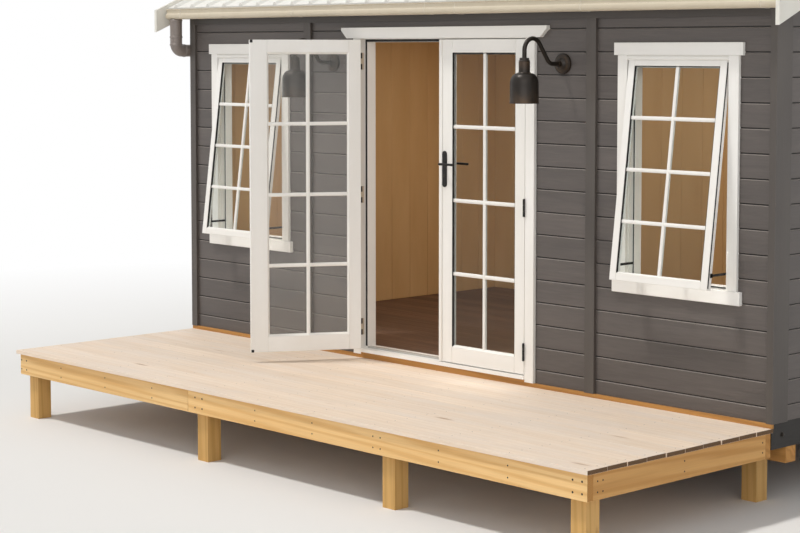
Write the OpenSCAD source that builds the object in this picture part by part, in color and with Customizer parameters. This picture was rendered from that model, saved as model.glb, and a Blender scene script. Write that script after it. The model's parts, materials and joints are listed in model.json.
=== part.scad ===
// Garden office pod on timber stumps, with a gable roof, glazed double doors and a front deck.
// Heights are given above the deck boards, and the ground is the deck height below them.
// The front wall faces -Y. The origin is on the ground, under the middle of the whole pod and deck.

/* [Pod] */
// Length of the front wall over the corner boards
pod_w = 5170; // [4600:10:6400]
// Depth of the pod over the corner boards
pod_d = 3200; // [2900:10:4200]
// Lower edge of the wall above the deck boards
wall_base = 24; // [16:1:38]
// Thickness of the wall behind its weatherboards
wall_t = 93; // [70:1:140]
// How far corner boards, strips and window trims stand out from the wall
trim_t = 24; // [18:1:40]
// Width of the corner boards along the end walls
corner_w = 140; // [100:5:180]
// Width of the corner boards along the front and back
corner_front_w = 44; // [35:1:70]
// Width of the cover strips over the wall joints
strip_w = 73; // [50:1:100]
// Distance of the cover strips from the middle of the pod
strip_x = 1274; // [1180:1:1340]
// Width of the strip beside the left corner board on the front
edge_strip_w = 16; // [12:1:60]
// Lower edge of the frieze board above the top of the doorway
frieze_over = 112; // [87:1:147]

/* [Floor and base] */
// Top of the room's floor above the deck boards
floor_z = 55; // [46:1:62]
// Height of the skirt board round the base
skirt_h = 145; // [120:5:200]
// Thickness of the skirt board and the joists
joist_t = 45; // [35:1:60]
// How far the skirt stands back from the face of the corner boards
skirt_back = 20; // [10:1:24]
// Height and width of the bearers under the floor
bearer_h = 90; // [70:5:140]
// Width of the square stumps and deck posts
post_w = 100; // [80:5:140]
// Number of stumps under each bearer
stump_count = 4; // [3:1:6]
// Distance of the outer bearers from the skirt's face
bearer_inset = 180; // [120:10:400]
// Distance of the outer stumps from the ends of the pod
stump_inset = 260; // [120:10:500]
// Number of joists under the floor, between the end skirts
floor_joist_count = 8; // [6:1:12]

/* [Roof] */
// Slope of the roof in degrees
roof_pitch = 23; // [18:0.5:28]
// Height of the top of the barge board at its front end, above the top of the doorway
barge_over = 216; // [187:1:267]
// How far the barge boards reach in front of the wall
barge_reach = 203; // [150:1:260]
// How far the barge boards stand out from the end walls
barge_out = 155; // [140:1:220]
// Height of the barge board, measured plumb
barge_h = 158; // [120:1:170]
// Thickness of the barge board
barge_t = 25; // [18:1:40]
// Thickness of the roof sheet with its ribs, measured plumb
sheet_t = 30; // [28:1:50]
// Number of ribs along each roof sheet
rib_count = 29; // [22:1:34]
// Height of a rib, measured square to the roof
rib_h = 20; // [10:1:22]
// Width of a rib at its foot
rib_foot_w = 42; // [36:1:60]
// Width of a rib at its top
rib_top_w = 17; // [10:1:26]
// How far the top of the barge board stands above the roof sheet, measured plumb
barge_lip = 4; // [2:0.5:12]
// How far the roof sheet reaches in front of the wall
sheet_reach = 98; // [80:1:120]
// Width of each wing of the ridge cap
ridge_wing = 150; // [100:5:220]
// Thickness of the ridge cap
ridge_t = 5; // [2:0.5:10]
// How far the troughs between the ribs run in under the ridge cap
trough_in = 20; // [5:1:60]
// Underside of the ceiling above the top of the doorway
ceiling_over = 187; // [147:1:207]
// Thickness of the ceiling
ceiling_t = 12; // [10:1:20]

/* [Gutter and downpipe] */
// Width of the gutter from its back to its lip
gutter_w = 90; // [70:1:120]
// Height of the gutter
gutter_h = 74; // [60:1:90]
// Radius of the gutter's lower front edge
gutter_round = 28; // [10:1:32]
// Thickness of the gutter's metal
gutter_t = 3; // [1.5:0.5:4]
// Thickness of the fascia board behind the gutter
fascia_t = 44; // [35:1:60]
// How far the fascia board's lower edge stands above the gutter's underside
fascia_up = 6; // [0:1:12]
// Underside of the gutter above the top of the doorway
gutter_over = 151; // [145:1:167]
// How far the gutter runs past the corner of the wall
gutter_past = 112; // [96:1:125]
// Diameter of the outlet in the gutter's floor
outlet_d = 44; // [30:1:46]
// Outer diameter of the downpipe
pipe_d = 88; // [60:1:88]
// Wall of the downpipe
pipe_wall = 3; // [2:0.5:5]
// Space between the downpipe and the end wall's corner board
pipe_gap = 4; // [1:1:4]
// How far the downpipe's upper elbow lies below the gutter
elbow_drop = 177; // [145:1:460]
// Radius of the bends in the downpipe
pipe_bend = 50; // [45:1:90]
// Length of the downpipe's level stretch past the corner board
pipe_run = 150; // [120:5:200]
// Lower end of the downpipe above the ground
pipe_foot = 60; // [30:5:160]

/* [Doors] */
// Middle of the doorway from the middle of the pod
door_x = 12; // [-40:1:40]
// Distance between the faces of the door jambs
door_w = 1487; // [1380:1:1500]
// Width of the frame's face
jamb_w = 71; // [50:1:90]
// Lower edge of the leaves above the deck boards
leaf_z = 68; // [66:1:80]
// Height of a leaf
leaf_h = 2040; // [1980:1:2042]
// Thickness of a leaf
leaf_t = 40; // [35:1:45]
// Gap between a leaf and the frame
leaf_gap = 5; // [5:0.5:7]
// Gap between the two leaves where they meet
meeting_gap = 9; // [9:0.5:12]
// Width of the stile on the hinge side
hinge_stile = 80; // [70:1:110]
// Width of the stile where the leaves meet
meeting_stile = 112; // [95:1:140]
// Height of the top rail
top_rail = 83; // [70:1:140]
// Height of the bottom rail
bottom_rail = 102; // [70:1:240]
// Thickness of the glass
glass_t = 6; // [4:1:10]
// Angle that the left leaf stands open, in degrees
left_open = 120; // [100:1:120]
// Thickness of the stop behind the leaves
stop_w = 20; // [14:1:30]
// Width of the strip that covers the meeting edge
meeting_strip_w = 27; // [20:1:32]
// Thickness of the strip that covers the meeting edge
meeting_strip_t = 8; // [5:1:12]
// Lower edge of the head trim above the top of the doorway
head_trim_over = 5; // [3:1:11]
// Height of the head trim
head_trim_h = 70; // [50:1:80]
// How far the head trim reaches past the frame on each side
head_trim_past = 107; // [80:1:140]
// How much shorter the head trim is at its lower edge, on each side
head_trim_cut = 54; // [20:1:70]
// Height of the upright part at the top of the head trim's ends
head_trim_edge = 18; // [6:1:40]
// How far the head trim stands out in front of the frame
head_trim_out = 12; // [8:1:40]
// Underside of the door sill above the deck boards
sill_z = 40; // [34:1:46]
// Top of the door sill above the deck boards
sill_top = 63; // [60:1:63]
// Height of the stop along the back of the sill
sill_stop_h = 10; // [6:1:20]
// How far the door sill stands out in front of the frame
sill_out = 12; // [5:1:40]

/* [Door hardware] */
// Diameter of a hinge barrel
hinge_d = 14; // [12:1:16]
// Length of a hinge
hinge_l = 110; // [90:1:130]
// Thickness of a hinge flap
flap_t = 1.8; // [1:0.1:2]
// Distance of the outer hinges from the ends of the leaf
hinge_end = 140; // [110:5:220]
// Distance of the lever's spindle from the leaf's meeting edge
lever_edge = 48; // [46:1:64]
// Height of the lever above the deck boards
lever_z = 1325; // [1200:1:1360]
// Length of the lever
lever_l = 125; // [100:1:140]
// Diameter of the lever
lever_d = 16; // [12:1:20]
// Distance of the lever from the face of the leaf
lever_out = 50; // [40:1:60]
// Width of the handle plate
plate_w = 36; // [28:1:40]
// Height of the handle plate
plate_h = 228; // [180:1:260]
// Thickness of the handle plate
plate_t = 8; // [5:1:12]

/* [Windows] */
// Distance of each window's middle from the middle of the pod
win_x = 1905; // [1880:1:1940]
// Width between the window's side trims
win_w = 716; // [600:1:740]
// Height between the window's sill and head
win_h = 1290; // [900:1:1320]
// How far the top of the windows lies below the top of the doorway
win_drop = 101; // [92:1:140]
// Width of the side trims
casing_w = 70; // [60:1:90]
// Height of the window's head trim
win_head_h = 72; // [50:1:90]
// Height of the window's sill
win_sill_h = 76; // [50:1:90]
// How far the head and sill reach past the side trims
win_past = 27; // [10:1:40]
// Width of the window frame's face inside the trims
win_frame_w = 6; // [5:1:20]
// Height of the drip bar above the sash
drip_h = 28; // [20:1:36]
// Angle that the sashes stand open, in degrees
sash_open = 7.3; // [3:0.1:9]
// Width of the sash's stiles
sash_stile = 46; // [35:1:60]
// Height of the sash's top rail
sash_top = 32; // [28:1:60]
// Height of the sash's bottom rail
sash_bottom = 42; // [35:1:80]
// Thickness of the sash
sash_t = 36; // [30:1:44]
// Gap between a sash and its frame
sash_gap = 4; // [3:0.5:5]

/* [Deck] */
// Height of the deck boards above the lowest ground
deck_h = 462; // [420:1:600]
// How much shorter than the pod the deck is, at each end
deck_short = 5; // [0:5:60]
// How far the deck boards reach in front of the wall
deck_d = 1500; // [1200:10:2400]
// Thickness of the deck boards
board_t = 24; // [19:1:35]
// Height of the deck's joists and fascia
deck_joist_h = 140; // [120:5:190]
// How far the boards reach past the fascia at the front
board_nose = 22; // [10:1:35]
// How far the boards reach past the joists at the ends
board_end = 20; // [10:1:35]
// How far the strip at the foot of the wall stands back from the trims, or out of them below zero
packer_y = 2; // [-20:1:12]
// Number of joists, the two end joists among them
deck_joist_count = 11; // [10:1:13]
// Number of joists to the left of the second post's joist
post2_joist_count = 4; // [2:1:5]
// Number of joists to the left of the third post's joist
post3_joist_count = 7; // [6:1:8]

/* [Lamps] */
// Distance of each lamp from the middle of the doorway
lamp_x = 1032; // [1010:1:1040]
// How far the wall plate's centre lies below the top of the doorway
lamp_drop = 153; // [123:1:213]
// Diameter of the wall plate
lamp_plate_d = 124; // [100:1:130]
// How far the shade's middle stands out from the face of the trims
lamp_reach = 320; // [290:1:325]
// Distance of the arm's lower bend from the face of the trims
arm_low_y = 75; // [60:1:90]
// Diameter of the arm's tube
arm_d = 26; // [14:1:28]
// Radius of the arm's lower bend
arm_low_r = 62; // [50:1:64]
// Radius of the arm's top bend
arm_top_r = 70; // [60:1:72]
// Height of the shade's top above the wall plate's centre
shade_top_z = 36; // [20:1:50]
// Height of the top bend's centre above the wall plate's centre
arm_top_z = 78; // [70:1:90]
// Height of the rounded shoulder on top of the shade
shoulder_h = 62; // [40:1:90]
// Outer diameter of the shade at its rim
shade_d = 173; // [140:1:174]
// Height of the shade below its neck
shade_h = 176; // [140:1:190]
// Thickness of the shade's metal
shade_wall = 3; // [2:0.5:5]
// Diameter of the shade's neck
neck_d = 66; // [50:1:72]
// Height of the shade's neck
neck_h = 72; // [50:1:80]
// Height of the cap on the neck
cap_h = 16; // [10:1:24]

/* [Hidden] */
$fn = 48;

dark_paint = "#4b4543";
white_paint = "#eceae4";
cream_metal = "#e9e4d8";
new_pine = "#d9a860";
deck_pine = "#d9c4a8";
bronze = "#2b2622";

// The front face of the corner boards is at y = 0 before the shift to the origin
half_w = pod_w / 2;
mid_y = pod_d / 2;
shift_y = (deck_d - pod_d - barge_reach) / 2;
wall_y = trim_t;
room_y = wall_y + wall_t;
room_x = half_w - room_y;
wall_x = half_w - wall_y;
tan_pitch = tan(roof_pitch);
seat = 0.3;
bell_steps = 10;

// Heights above the deck that follow the doorway
leaf_top = leaf_z + leaf_h;
head_z = leaf_top + leaf_gap;
lamp_z = head_z - lamp_drop;
head_trim_z = head_z + head_trim_over;
frieze_z = head_z + frieze_over;
ceiling_z = head_z + ceiling_over;
gutter_z = head_z + gutter_over;
barge_top = head_z + barge_over;

// Roof lines, as heights above the deck at a distance y from the front
function line_z(y, at_front) = at_front + (min(y, pod_d - y) + barge_reach) * tan_pitch;
function barge_z(y) = line_z(y, barge_top);
function sheet_top(y) = barge_z(y) - barge_lip;
function sheet_under(y) = sheet_top(y) - sheet_t;
function rest_z(y) = sheet_under(y) - seat;

// Door sizes
jamb_x = door_w / 2;
leaf_w = jamb_x - leaf_gap - meeting_gap / 2;
pin_x = jamb_x - leaf_gap / 2;
pin_y = -(hinge_d / 2 + 1);
frame_x = jamb_x + jamb_w;
stop_y = leaf_t + leaf_gap;
lever_x = meeting_gap / 2 + lever_edge;

// Window sizes
casing_x = win_w / 2 + casing_w;
win_top = head_z - win_drop;
win_z = win_top - win_h;
frame_in_x = win_w / 2 - win_frame_w;
sash_w = 2 * (frame_in_x - sash_gap);
sash_head_z = win_top - drip_h;
sash_h = sash_head_z - win_z - sash_gap;
// How far the frame reaches under the trims, and the sash's place behind their face
win_hide = 18;
sash_y = 4;
head_out = 2;
sill_trim_out = 8;

// Base and deck sizes
skirt_z = wall_base - skirt_h;
skirt_y = skirt_back;
bearer_z = skirt_z - bearer_h;
deck_joist_z = -board_t - deck_joist_h;
fascia_y = -deck_d + board_nose;
deck_x = half_w - deck_short;
deck_end_x = deck_x - board_end;
ledger_y = skirt_y - joist_t;

// Gutter sizes
gutter_back = -fascia_t;
gutter_front = gutter_back - gutter_w;
gutter_x = half_w + gutter_past;
gutter_in_x = gutter_x - gutter_t;
pipe_elbow_z = gutter_z - elbow_drop;
gutter_top = gutter_z + gutter_h;
gutter_bend_y = gutter_front + gutter_round;
gutter_bend_z = gutter_z + gutter_round;
pipe_x = -(half_w + pipe_gap + pipe_d / 2);
pipe_y = gutter_back - gutter_w / 2;

// Moves a piece into the part's frame: the deck's top is at deck_h, the ground at zero
module placed() {
    translate([0, shift_y, deck_h]) children();
}

// A box given by its low and high corners
module box(lo, hi) {
    translate(lo) cube(hi - lo);
}

// A copy on each side of the pod's middle, left and right
module both_ends() {
    children();
    mirror([1, 0, 0]) children();
}

// A copy at the front and one at the back
module front_and_back() {
    children();
    translate([0, pod_d, 0]) mirror([0, 1, 0]) children();
}

// Points given as [y, z], drawn as a plate between two places along x
module plate_yz(points, x0, x1) {
    translate([x0, 0, 0]) rotate([90, 0, 90]) linear_extrude(x1 - x0) polygon(points);
}

// A plate along x that stands from z0 up to the roof, between two places along y
module under_roof(y0, y1, z0, x0, x1) {
    plate_yz([[y0, z0], [y1, z0], [y1, rest_z(y1)], [y0, rest_z(y0)]], x0, x1);
}

// Base

bearer_rows = [skirt_y + bearer_inset, mid_y, pod_d - skirt_y - bearer_inset];

module stumps() {
    end_x = half_w - stump_inset;
    gap = 2 * end_x / (stump_count - 1);
    placed() color(new_pine)
        for (y = bearer_rows, i = [0 : stump_count - 1])
            translate([-end_x + i * gap, y, 0])
                box([-post_w / 2, -post_w / 2, -deck_h], [post_w / 2, post_w / 2, bearer_z]);
}

module floor_bearers() {
    end_x = half_w - skirt_back;
    placed() color(new_pine)
        for (y = bearer_rows)
            box([-end_x, y - bearer_h / 2, bearer_z], [end_x, y + bearer_h / 2, skirt_z]);
}

module floor_joists() {
    inner_x = half_w - skirt_back - joist_t;
    inner_y = skirt_y + joist_t;
    placed() color(new_pine)
        for (i = [1 : floor_joist_count])
            translate([-inner_x + i * 2 * inner_x / (floor_joist_count + 1), 0, 0])
                box([-joist_t / 2, inner_y, skirt_z], [joist_t / 2, pod_d - inner_y, wall_base]);
}

module long_skirts() {
    out_x = half_w - skirt_back;
    placed() color(dark_paint) front_and_back()
        box([-out_x, skirt_y, skirt_z], [out_x, skirt_y + joist_t, wall_base]);
}

module end_skirts() {
    out_x = half_w - skirt_back;
    placed() color(dark_paint) both_ends()
        box([out_x - joist_t, skirt_y + joist_t, skirt_z], [out_x, pod_d - skirt_y - joist_t, wall_base]);
}

module floor() {
    placed() color("#4a362b")
        box([-room_x, room_y, wall_base], [room_x, pod_d - room_y, floor_z]);
}

// Walls

// A stretch of the front wall, with its top cut to the roof's slope
module front_section(x0, x1, z0) {
    under_roof(wall_y, room_y, z0, x0, x1);
}

module window_hole(side) {
    hole_x = win_w / 2 + win_hide;
    translate([side * win_x, 0, 0])
        box([-hole_x, -1, win_z - win_hide], [hole_x, room_y + 1, win_top + win_hide]);
}

module front_wall_left() {
    placed() color(dark_paint) difference() {
        front_section(-room_x, door_x - frame_x, wall_base);
        window_hole(-1);
    }
}

module front_wall_right() {
    placed() color(dark_paint) difference() {
        front_section(door_x + frame_x, room_x, wall_base);
        window_hole(1);
    }
}

module front_wall_over_door() {
    placed() color(dark_paint)
        front_section(door_x - frame_x, door_x + frame_x, head_z + jamb_w);
}

module back_wall() {
    placed() color(dark_paint)
        translate([0, pod_d, 0]) mirror([0, 1, 0]) front_section(-room_x, room_x, wall_base);
}

module end_wall() {
    points = [[wall_y, wall_base], [pod_d - wall_y, wall_base], [pod_d - wall_y, rest_z(wall_y)],
        [mid_y, rest_z(mid_y)], [wall_y, rest_z(wall_y)]];
    plate_yz(points, room_x, wall_x);
}

module left_end_wall() {
    placed() color(dark_paint) mirror([1, 0, 0]) end_wall();
}

module right_end_wall() {
    placed() color(dark_paint) end_wall();
}

module ceiling() {
    placed() color(white_paint)
        box([-room_x, room_y, ceiling_z], [room_x, pod_d - room_y, ceiling_z + ceiling_t]);
}

// Trims on the walls

module corner_board() {
    under_roof(0, wall_y, wall_base, wall_x - corner_front_w + trim_t, wall_x);
    under_roof(0, corner_w, wall_base, wall_x, half_w);
}

module corner_boards() {
    placed() color(dark_paint) both_ends() front_and_back() corner_board();
}

module cover_strips() {
    left_x = -(wall_x - corner_front_w + trim_t);
    placed() color(dark_paint) {
        box([left_x + seat, 0, wall_base], [left_x + edge_strip_w, wall_y, frieze_z]);
        front_and_back() both_ends()
            box([strip_x - strip_w / 2, 0, wall_base], [strip_x + strip_w / 2, wall_y, frieze_z]);
        both_ends()
            box([wall_x, mid_y - strip_w / 2, wall_base],
                [half_w, mid_y + strip_w / 2, rest_z(mid_y - strip_w / 2)]);
    }
}

module frieze_boards() {
    end_x = wall_x - corner_front_w + trim_t;
    placed() color(dark_paint) front_and_back() under_roof(0, wall_y, frieze_z, -end_x, end_x);
}

// Windows, drawn about their own middle

module at_windows() {
    translate([win_x, 0, 0]) children();
    translate([-win_x, 0, 0]) children();
}

module window_trims() {
    end_x = casing_x + win_past;
    placed() color(white_paint) at_windows() {
        box([-casing_x, 0, win_z], [-win_w / 2, wall_y, win_top]);
        box([win_w / 2, 0, win_z], [casing_x, wall_y, win_top]);
        box([-end_x, -head_out, win_top], [end_x, wall_y, win_top + win_head_h]);
        box([-end_x, -sill_trim_out, win_z - win_sill_h], [end_x, wall_y, win_z]);
        box([-win_w / 2, 0, sash_head_z], [win_w / 2, wall_y, win_top]);
    }
}

module window_frames() {
    out_x = win_w / 2 + win_hide;
    placed() color(white_paint) at_windows() difference() {
        box([-out_x, wall_y, win_z - win_hide], [out_x, room_y, win_top + win_hide]);
        box([-frame_in_x, wall_y - 1, win_z], [frame_in_x, room_y + 1, sash_head_z]);
    }
}

// Puts a closed sash in place: it hangs from its top front edge and its foot swings out
module hung_sash() {
    translate([0, sash_y, sash_head_z - seat]) rotate([-sash_open, 0, 0]) children();
}

module window_sashes() {
    light_x = sash_w / 2 - sash_stile;
    placed() color(white_paint) at_windows() hung_sash() difference() {
        box([-sash_w / 2, 0, -sash_h], [sash_w / 2, sash_t, 0]);
        box([-light_x, -1, -sash_h + sash_bottom], [light_x, sash_t + 1, -sash_top]);
    }
}

module window_glass() {
    light_x = sash_w / 2 - sash_stile;
    glass_y = (sash_t - glass_t) / 2;
    placed() color("#a8b4b4", 0.35) at_windows() hung_sash()
        box([-light_x, glass_y, -sash_h + sash_bottom], [light_x, glass_y + glass_t, -sash_top]);
}

// Stays at both sides of each sash, between the sash and the frame
module window_stays() {
    stay_low = 0.93;
    stay_w = 16;
    foot_y = -sash_h * stay_low * sin(sash_open) + sash_y + sash_t / 2;
    placed() color(bronze) at_windows() both_ends()
        translate([sash_w / 2, 0, sash_head_z - sash_h * stay_low])
            box([0, foot_y, -stay_w / 2], [sash_gap, room_y - stay_w, stay_w / 2]);
}

// Doorway, drawn about the middle of the doors

module at_door() {
    translate([door_x, 0, 0]) children();
}

module door_frame() {
    placed() color(white_paint) at_door() difference() {
        box([-frame_x, 0, wall_base], [frame_x, room_y, head_z + jamb_w]);
        box([-jamb_x, -1, wall_base - 1], [jamb_x, stop_y, head_z]);
        box([-jamb_x + stop_w, -1, wall_base - 1], [jamb_x - stop_w, room_y + 1, head_z - stop_w]);
    }
}

module door_sill() {
    placed() color(white_paint) at_door() {
        box([-jamb_x, -sill_out, sill_z], [jamb_x, stop_y, sill_top]);
        box([-jamb_x + stop_w, stop_y, sill_z], [jamb_x - stop_w, room_y, sill_top + sill_stop_h]);
    }
}

module door_head_trim() {
    end_x = frame_x + head_trim_past;
    low_x = end_x - head_trim_cut;
    top_z = head_trim_z + head_trim_h;
    outline = [[-low_x, head_trim_z], [low_x, head_trim_z], [end_x, top_z - head_trim_edge], [end_x, top_z],
        [-end_x, top_z], [-end_x, top_z - head_trim_edge]];
    placed() color(white_paint) at_door() {
        rotate([90, 0, 0]) linear_extrude(head_trim_out) polygon(outline);
        difference() {
            translate([0, wall_y, 0]) rotate([90, 0, 0]) linear_extrude(wall_y) polygon(outline);
            box([-frame_x, -1, head_trim_z - 1], [frame_x, wall_y + 1, head_z + jamb_w]);
        }
    }
}

// Heights of the hinges' middles
hinge_heights = [leaf_z + hinge_end, leaf_z + leaf_h / 2, leaf_top - hinge_end];
knuckle_l = hinge_l / 3;
knuckle_gap = 0.5;
flap_y = 30;

// One hinge about its pin. The leaf lies towards +x and the jamb towards -x
module leaf_hinge() {
    end_z = knuckle_l / 2 - knuckle_gap;
    translate([0, 0, -end_z]) cylinder(h = 2 * end_z, d = hinge_d);
    box([leaf_gap / 2 - flap_t, 0, -end_z], [leaf_gap / 2, -pin_y + 1, end_z]);
    box([leaf_gap / 2 - flap_t, -pin_y + 0.5, -hinge_l / 2], [leaf_gap / 2, flap_y - pin_y, hinge_l / 2]);
}

module jamb_hinge() {
    for (side = [-1, 1]) translate([0, 0, side * knuckle_l]) {
        translate([0, 0, -knuckle_l / 2]) cylinder(h = knuckle_l, d = hinge_d);
        box([-leaf_gap / 2, 0, -knuckle_l / 2], [-leaf_gap / 2 + flap_t, -pin_y + 1, knuckle_l / 2]);
    }
    box([-leaf_gap / 2, -pin_y + 0.5, -hinge_l / 2], [-leaf_gap / 2 + flap_t, flap_y - pin_y, hinge_l / 2]);
}

module frame_hinges() {
    placed() color("#1d1b1a") at_door() both_ends()
        for (z = hinge_heights) translate([-pin_x, pin_y, z]) jamb_hinge();
}

// A leaf drawn closed about its own pin, with the hinge side at -x
module leaf_frame() {
    edge = leaf_gap / 2;
    difference() {
        box([edge, -pin_y, leaf_z], [edge + leaf_w, -pin_y + leaf_t, leaf_top]);
        box([edge + hinge_stile, -pin_y - 1, leaf_z + bottom_rail],
            [edge + leaf_w - meeting_stile, -pin_y + leaf_t + 1, leaf_top - top_rail]);
    }
}

module leaf_glass() {
    edge = leaf_gap / 2;
    glass_y = -pin_y + (leaf_t - glass_t) / 2;
    box([edge + hinge_stile, glass_y, leaf_z + bottom_rail],
        [edge + leaf_w - meeting_stile, glass_y + glass_t, leaf_top - top_rail]);
}

module leaf_hinges() {
    for (z = hinge_heights) translate([0, 0, z]) leaf_hinge();
}

// Puts a closed leaf on its pin, at the left opened out to where it rests
module left_place() {
    at_door() translate([-pin_x, pin_y, 0]) rotate([0, 0, -left_open]) children();
}

module right_place() {
    at_door() mirror([1, 0, 0]) translate([-pin_x, pin_y, 0]) children();
}

module left_leaf() {
    placed() color(white_paint) left_place() leaf_frame();
}

module left_leaf_glass() {
    placed() color("#a8b4b4", 0.35) left_place() leaf_glass();
}

// Hinges, and the bolt ends at the corners of the leaf's meeting edge
module left_leaf_hardware() {
    bolt = 18;
    edge = leaf_gap / 2 + leaf_w;
    face = -pin_y + leaf_t;
    placed() color("#1d1b1a") left_place() {
        leaf_hinges();
        for (z = [leaf_z, leaf_top - bolt]) box([edge - bolt, face, z], [edge, face + 3, z + bolt]);
    }
}

// The right leaf carries the strip that covers the meeting edge
module right_leaf() {
    edge = door_x + meeting_gap / 2;
    placed() color(white_paint) {
        right_place() leaf_frame();
        box([edge, -meeting_strip_t, leaf_z], [edge + meeting_strip_w, 0, leaf_top]);
    }
}

module right_leaf_glass() {
    placed() color("#a8b4b4", 0.35) right_place() leaf_glass();
}

// Places what belongs to the lever at its spindle. The lever points away from the meeting edge
module at_lever() {
    at_door() translate([lever_x, 0, lever_z]) children();
}

// Hinges, and the handle plates inside and outside
module right_leaf_hardware() {
    low = -plate_h * 0.64;
    placed() color("#1d1b1a") {
        right_place() leaf_hinges();
        at_lever() {
            box([-plate_w / 2, -plate_t, low], [plate_w / 2, 0, low + plate_h]);
            box([-plate_w / 2, leaf_t, low], [plate_w / 2, leaf_t + plate_t, low + plate_h]);
        }
    }
}

// A lever on the outside, from its neck at the plate
module lever() {
    neck_l = lever_out - plate_t - seat;
    rotate([90, 0, 0]) translate([0, 0, plate_t + seat]) cylinder(h = neck_l, d = lever_d);
    translate([0, -lever_out, 0]) rotate([0, 90, 0]) cylinder(h = lever_l - lever_d / 2, d = lever_d);
    translate([0, -lever_out, 0]) sphere(d = lever_d);
    translate([lever_l - lever_d / 2, -lever_out, 0]) sphere(d = lever_d);
}

module door_levers() {
    placed() color("#1d1b1a") at_lever() {
        lever();
        translate([0, leaf_t, 0]) mirror([0, 1, 0]) lever();
    }
}

// Roof

// The hollow between two neighbouring ribs, given the middle of each, from past the eaves to the ridge cap
module roof_trough(x0, x1) {
    upper_end = (mid_y + sheet_reach) / cos(roof_pitch) - ridge_wing + trough_in;
    foot = rib_foot_w / 2;
    top = rib_top_w / 2;
    translate([0, -sheet_reach, sheet_top(-sheet_reach)]) rotate([roof_pitch, 0, 0])
        translate([0, upper_end, 0]) rotate([90, 0, 0]) linear_extrude(upper_end + 2 * rib_h)
            polygon([[x0 + foot, -rib_h], [x1 - foot, -rib_h], [x1 - top, 0], [x1 - top, rib_h],
                [x0 + top, rib_h], [x0 + top, 0]]);
}

module roof_slope() {
    end_x = half_w + barge_out - barge_t;
    rib_gap = 2 * end_x / rib_count;
    difference() {
        plate_yz([[-sheet_reach, sheet_under(-sheet_reach)], [mid_y, sheet_under(mid_y)],
            [mid_y, sheet_top(mid_y)], [-sheet_reach, sheet_top(-sheet_reach)]], -end_x, end_x);
        for (i = [0 : rib_count]) roof_trough(-end_x + (i - 0.5) * rib_gap, -end_x + (i + 0.5) * rib_gap);
    }
}

module roof_front() {
    placed() color(cream_metal) roof_slope();
}

module roof_back() {
    placed() color(cream_metal) translate([0, pod_d, 0]) mirror([0, 1, 0]) roof_slope();
}

module ridge_cap() {
    end_x = half_w + barge_out;
    low = mid_y - ridge_wing * cos(roof_pitch);
    rise = ridge_t / cos(roof_pitch);
    placed() color(cream_metal)
        plate_yz([[low, barge_z(low)], [mid_y, barge_z(mid_y)], [pod_d - low, barge_z(low)],
            [pod_d - low, barge_z(low) + rise], [mid_y, barge_z(mid_y) + rise], [low, barge_z(low) + rise]],
            -end_x, end_x);
}

module barge_boards() {
    front = -barge_reach;
    back = pod_d + barge_reach;
    points = [[front, barge_top - barge_h], [mid_y, barge_z(mid_y) - barge_h], [back, barge_top - barge_h],
        [back, barge_top], [mid_y, barge_z(mid_y)], [front, barge_top]];
    placed() color(cream_metal) both_ends()
        plate_yz(points, half_w + barge_out - barge_t, half_w + barge_out);
}

module fascia_boards() {
    low = gutter_z + fascia_up;
    placed() color(cream_metal) front_and_back()
        plate_yz([[-fascia_t, low], [0, low], [0, rest_z(0)], [-fascia_t, rest_z(-fascia_t)]],
            -gutter_x, gutter_x);
}

// The gutter is a folded channel: a flat floor, a round lower front edge, an upright front and back,
// and a cap at each end

module gutter_floors() {
    inner_y = gutter_back - gutter_t;
    placed() color(cream_metal) front_and_back() difference() {
        box([-gutter_in_x, gutter_bend_y, gutter_z], [gutter_in_x, inner_y, gutter_z + gutter_t]);
        translate([pipe_x, (gutter_bend_y + inner_y) / 2, gutter_z - 1])
            cylinder(h = gutter_t + 2, d = outlet_d);
    }
}

module gutter_bends() {
    placed() color(cream_metal) front_and_back()
        translate([-gutter_in_x, gutter_bend_y, gutter_bend_z]) rotate([90, 0, 90])
            linear_extrude(2 * gutter_in_x) intersection() {
                difference() {
                    circle(r = gutter_round);
                    circle(r = gutter_round - gutter_t);
                }
                translate([-gutter_round, -gutter_round]) square(gutter_round);
            }
}

module gutter_fronts() {
    placed() color(cream_metal) front_and_back()
        box([-gutter_in_x, gutter_front, gutter_bend_z], [gutter_in_x, gutter_front + gutter_t, gutter_top]);
}

module gutter_backs() {
    placed() color(cream_metal) front_and_back()
        box([-gutter_in_x, gutter_back - gutter_t, gutter_z], [gutter_in_x, gutter_back, gutter_top]);
}

module gutter_ends() {
    placed() color(cream_metal) both_ends() front_and_back()
        translate([gutter_in_x, 0, 0]) rotate([90, 0, 90]) linear_extrude(gutter_t) {
            translate([gutter_bend_y, gutter_z]) square([gutter_back - gutter_bend_y, gutter_h]);
            translate([gutter_front, gutter_bend_z]) square([gutter_w, gutter_top - gutter_bend_z]);
            translate([gutter_bend_y, gutter_bend_z]) circle(r = gutter_round);
        }
}

// A tube upwards along z
module tube(length) {
    difference() {
        cylinder(h = length, d = pipe_d);
        translate([0, 0, -1]) cylinder(h = length + 2, d = pipe_d - 2 * pipe_wall);
    }
}

// A quarter bend about the x axis, from +z towards +y
module quarter_bend() {
    rotate([0, -90, 0]) rotate_extrude(angle = 90) translate([pipe_bend, 0]) difference() {
        circle(d = pipe_d);
        circle(d = pipe_d - 2 * pipe_wall);
    }
}

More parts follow.
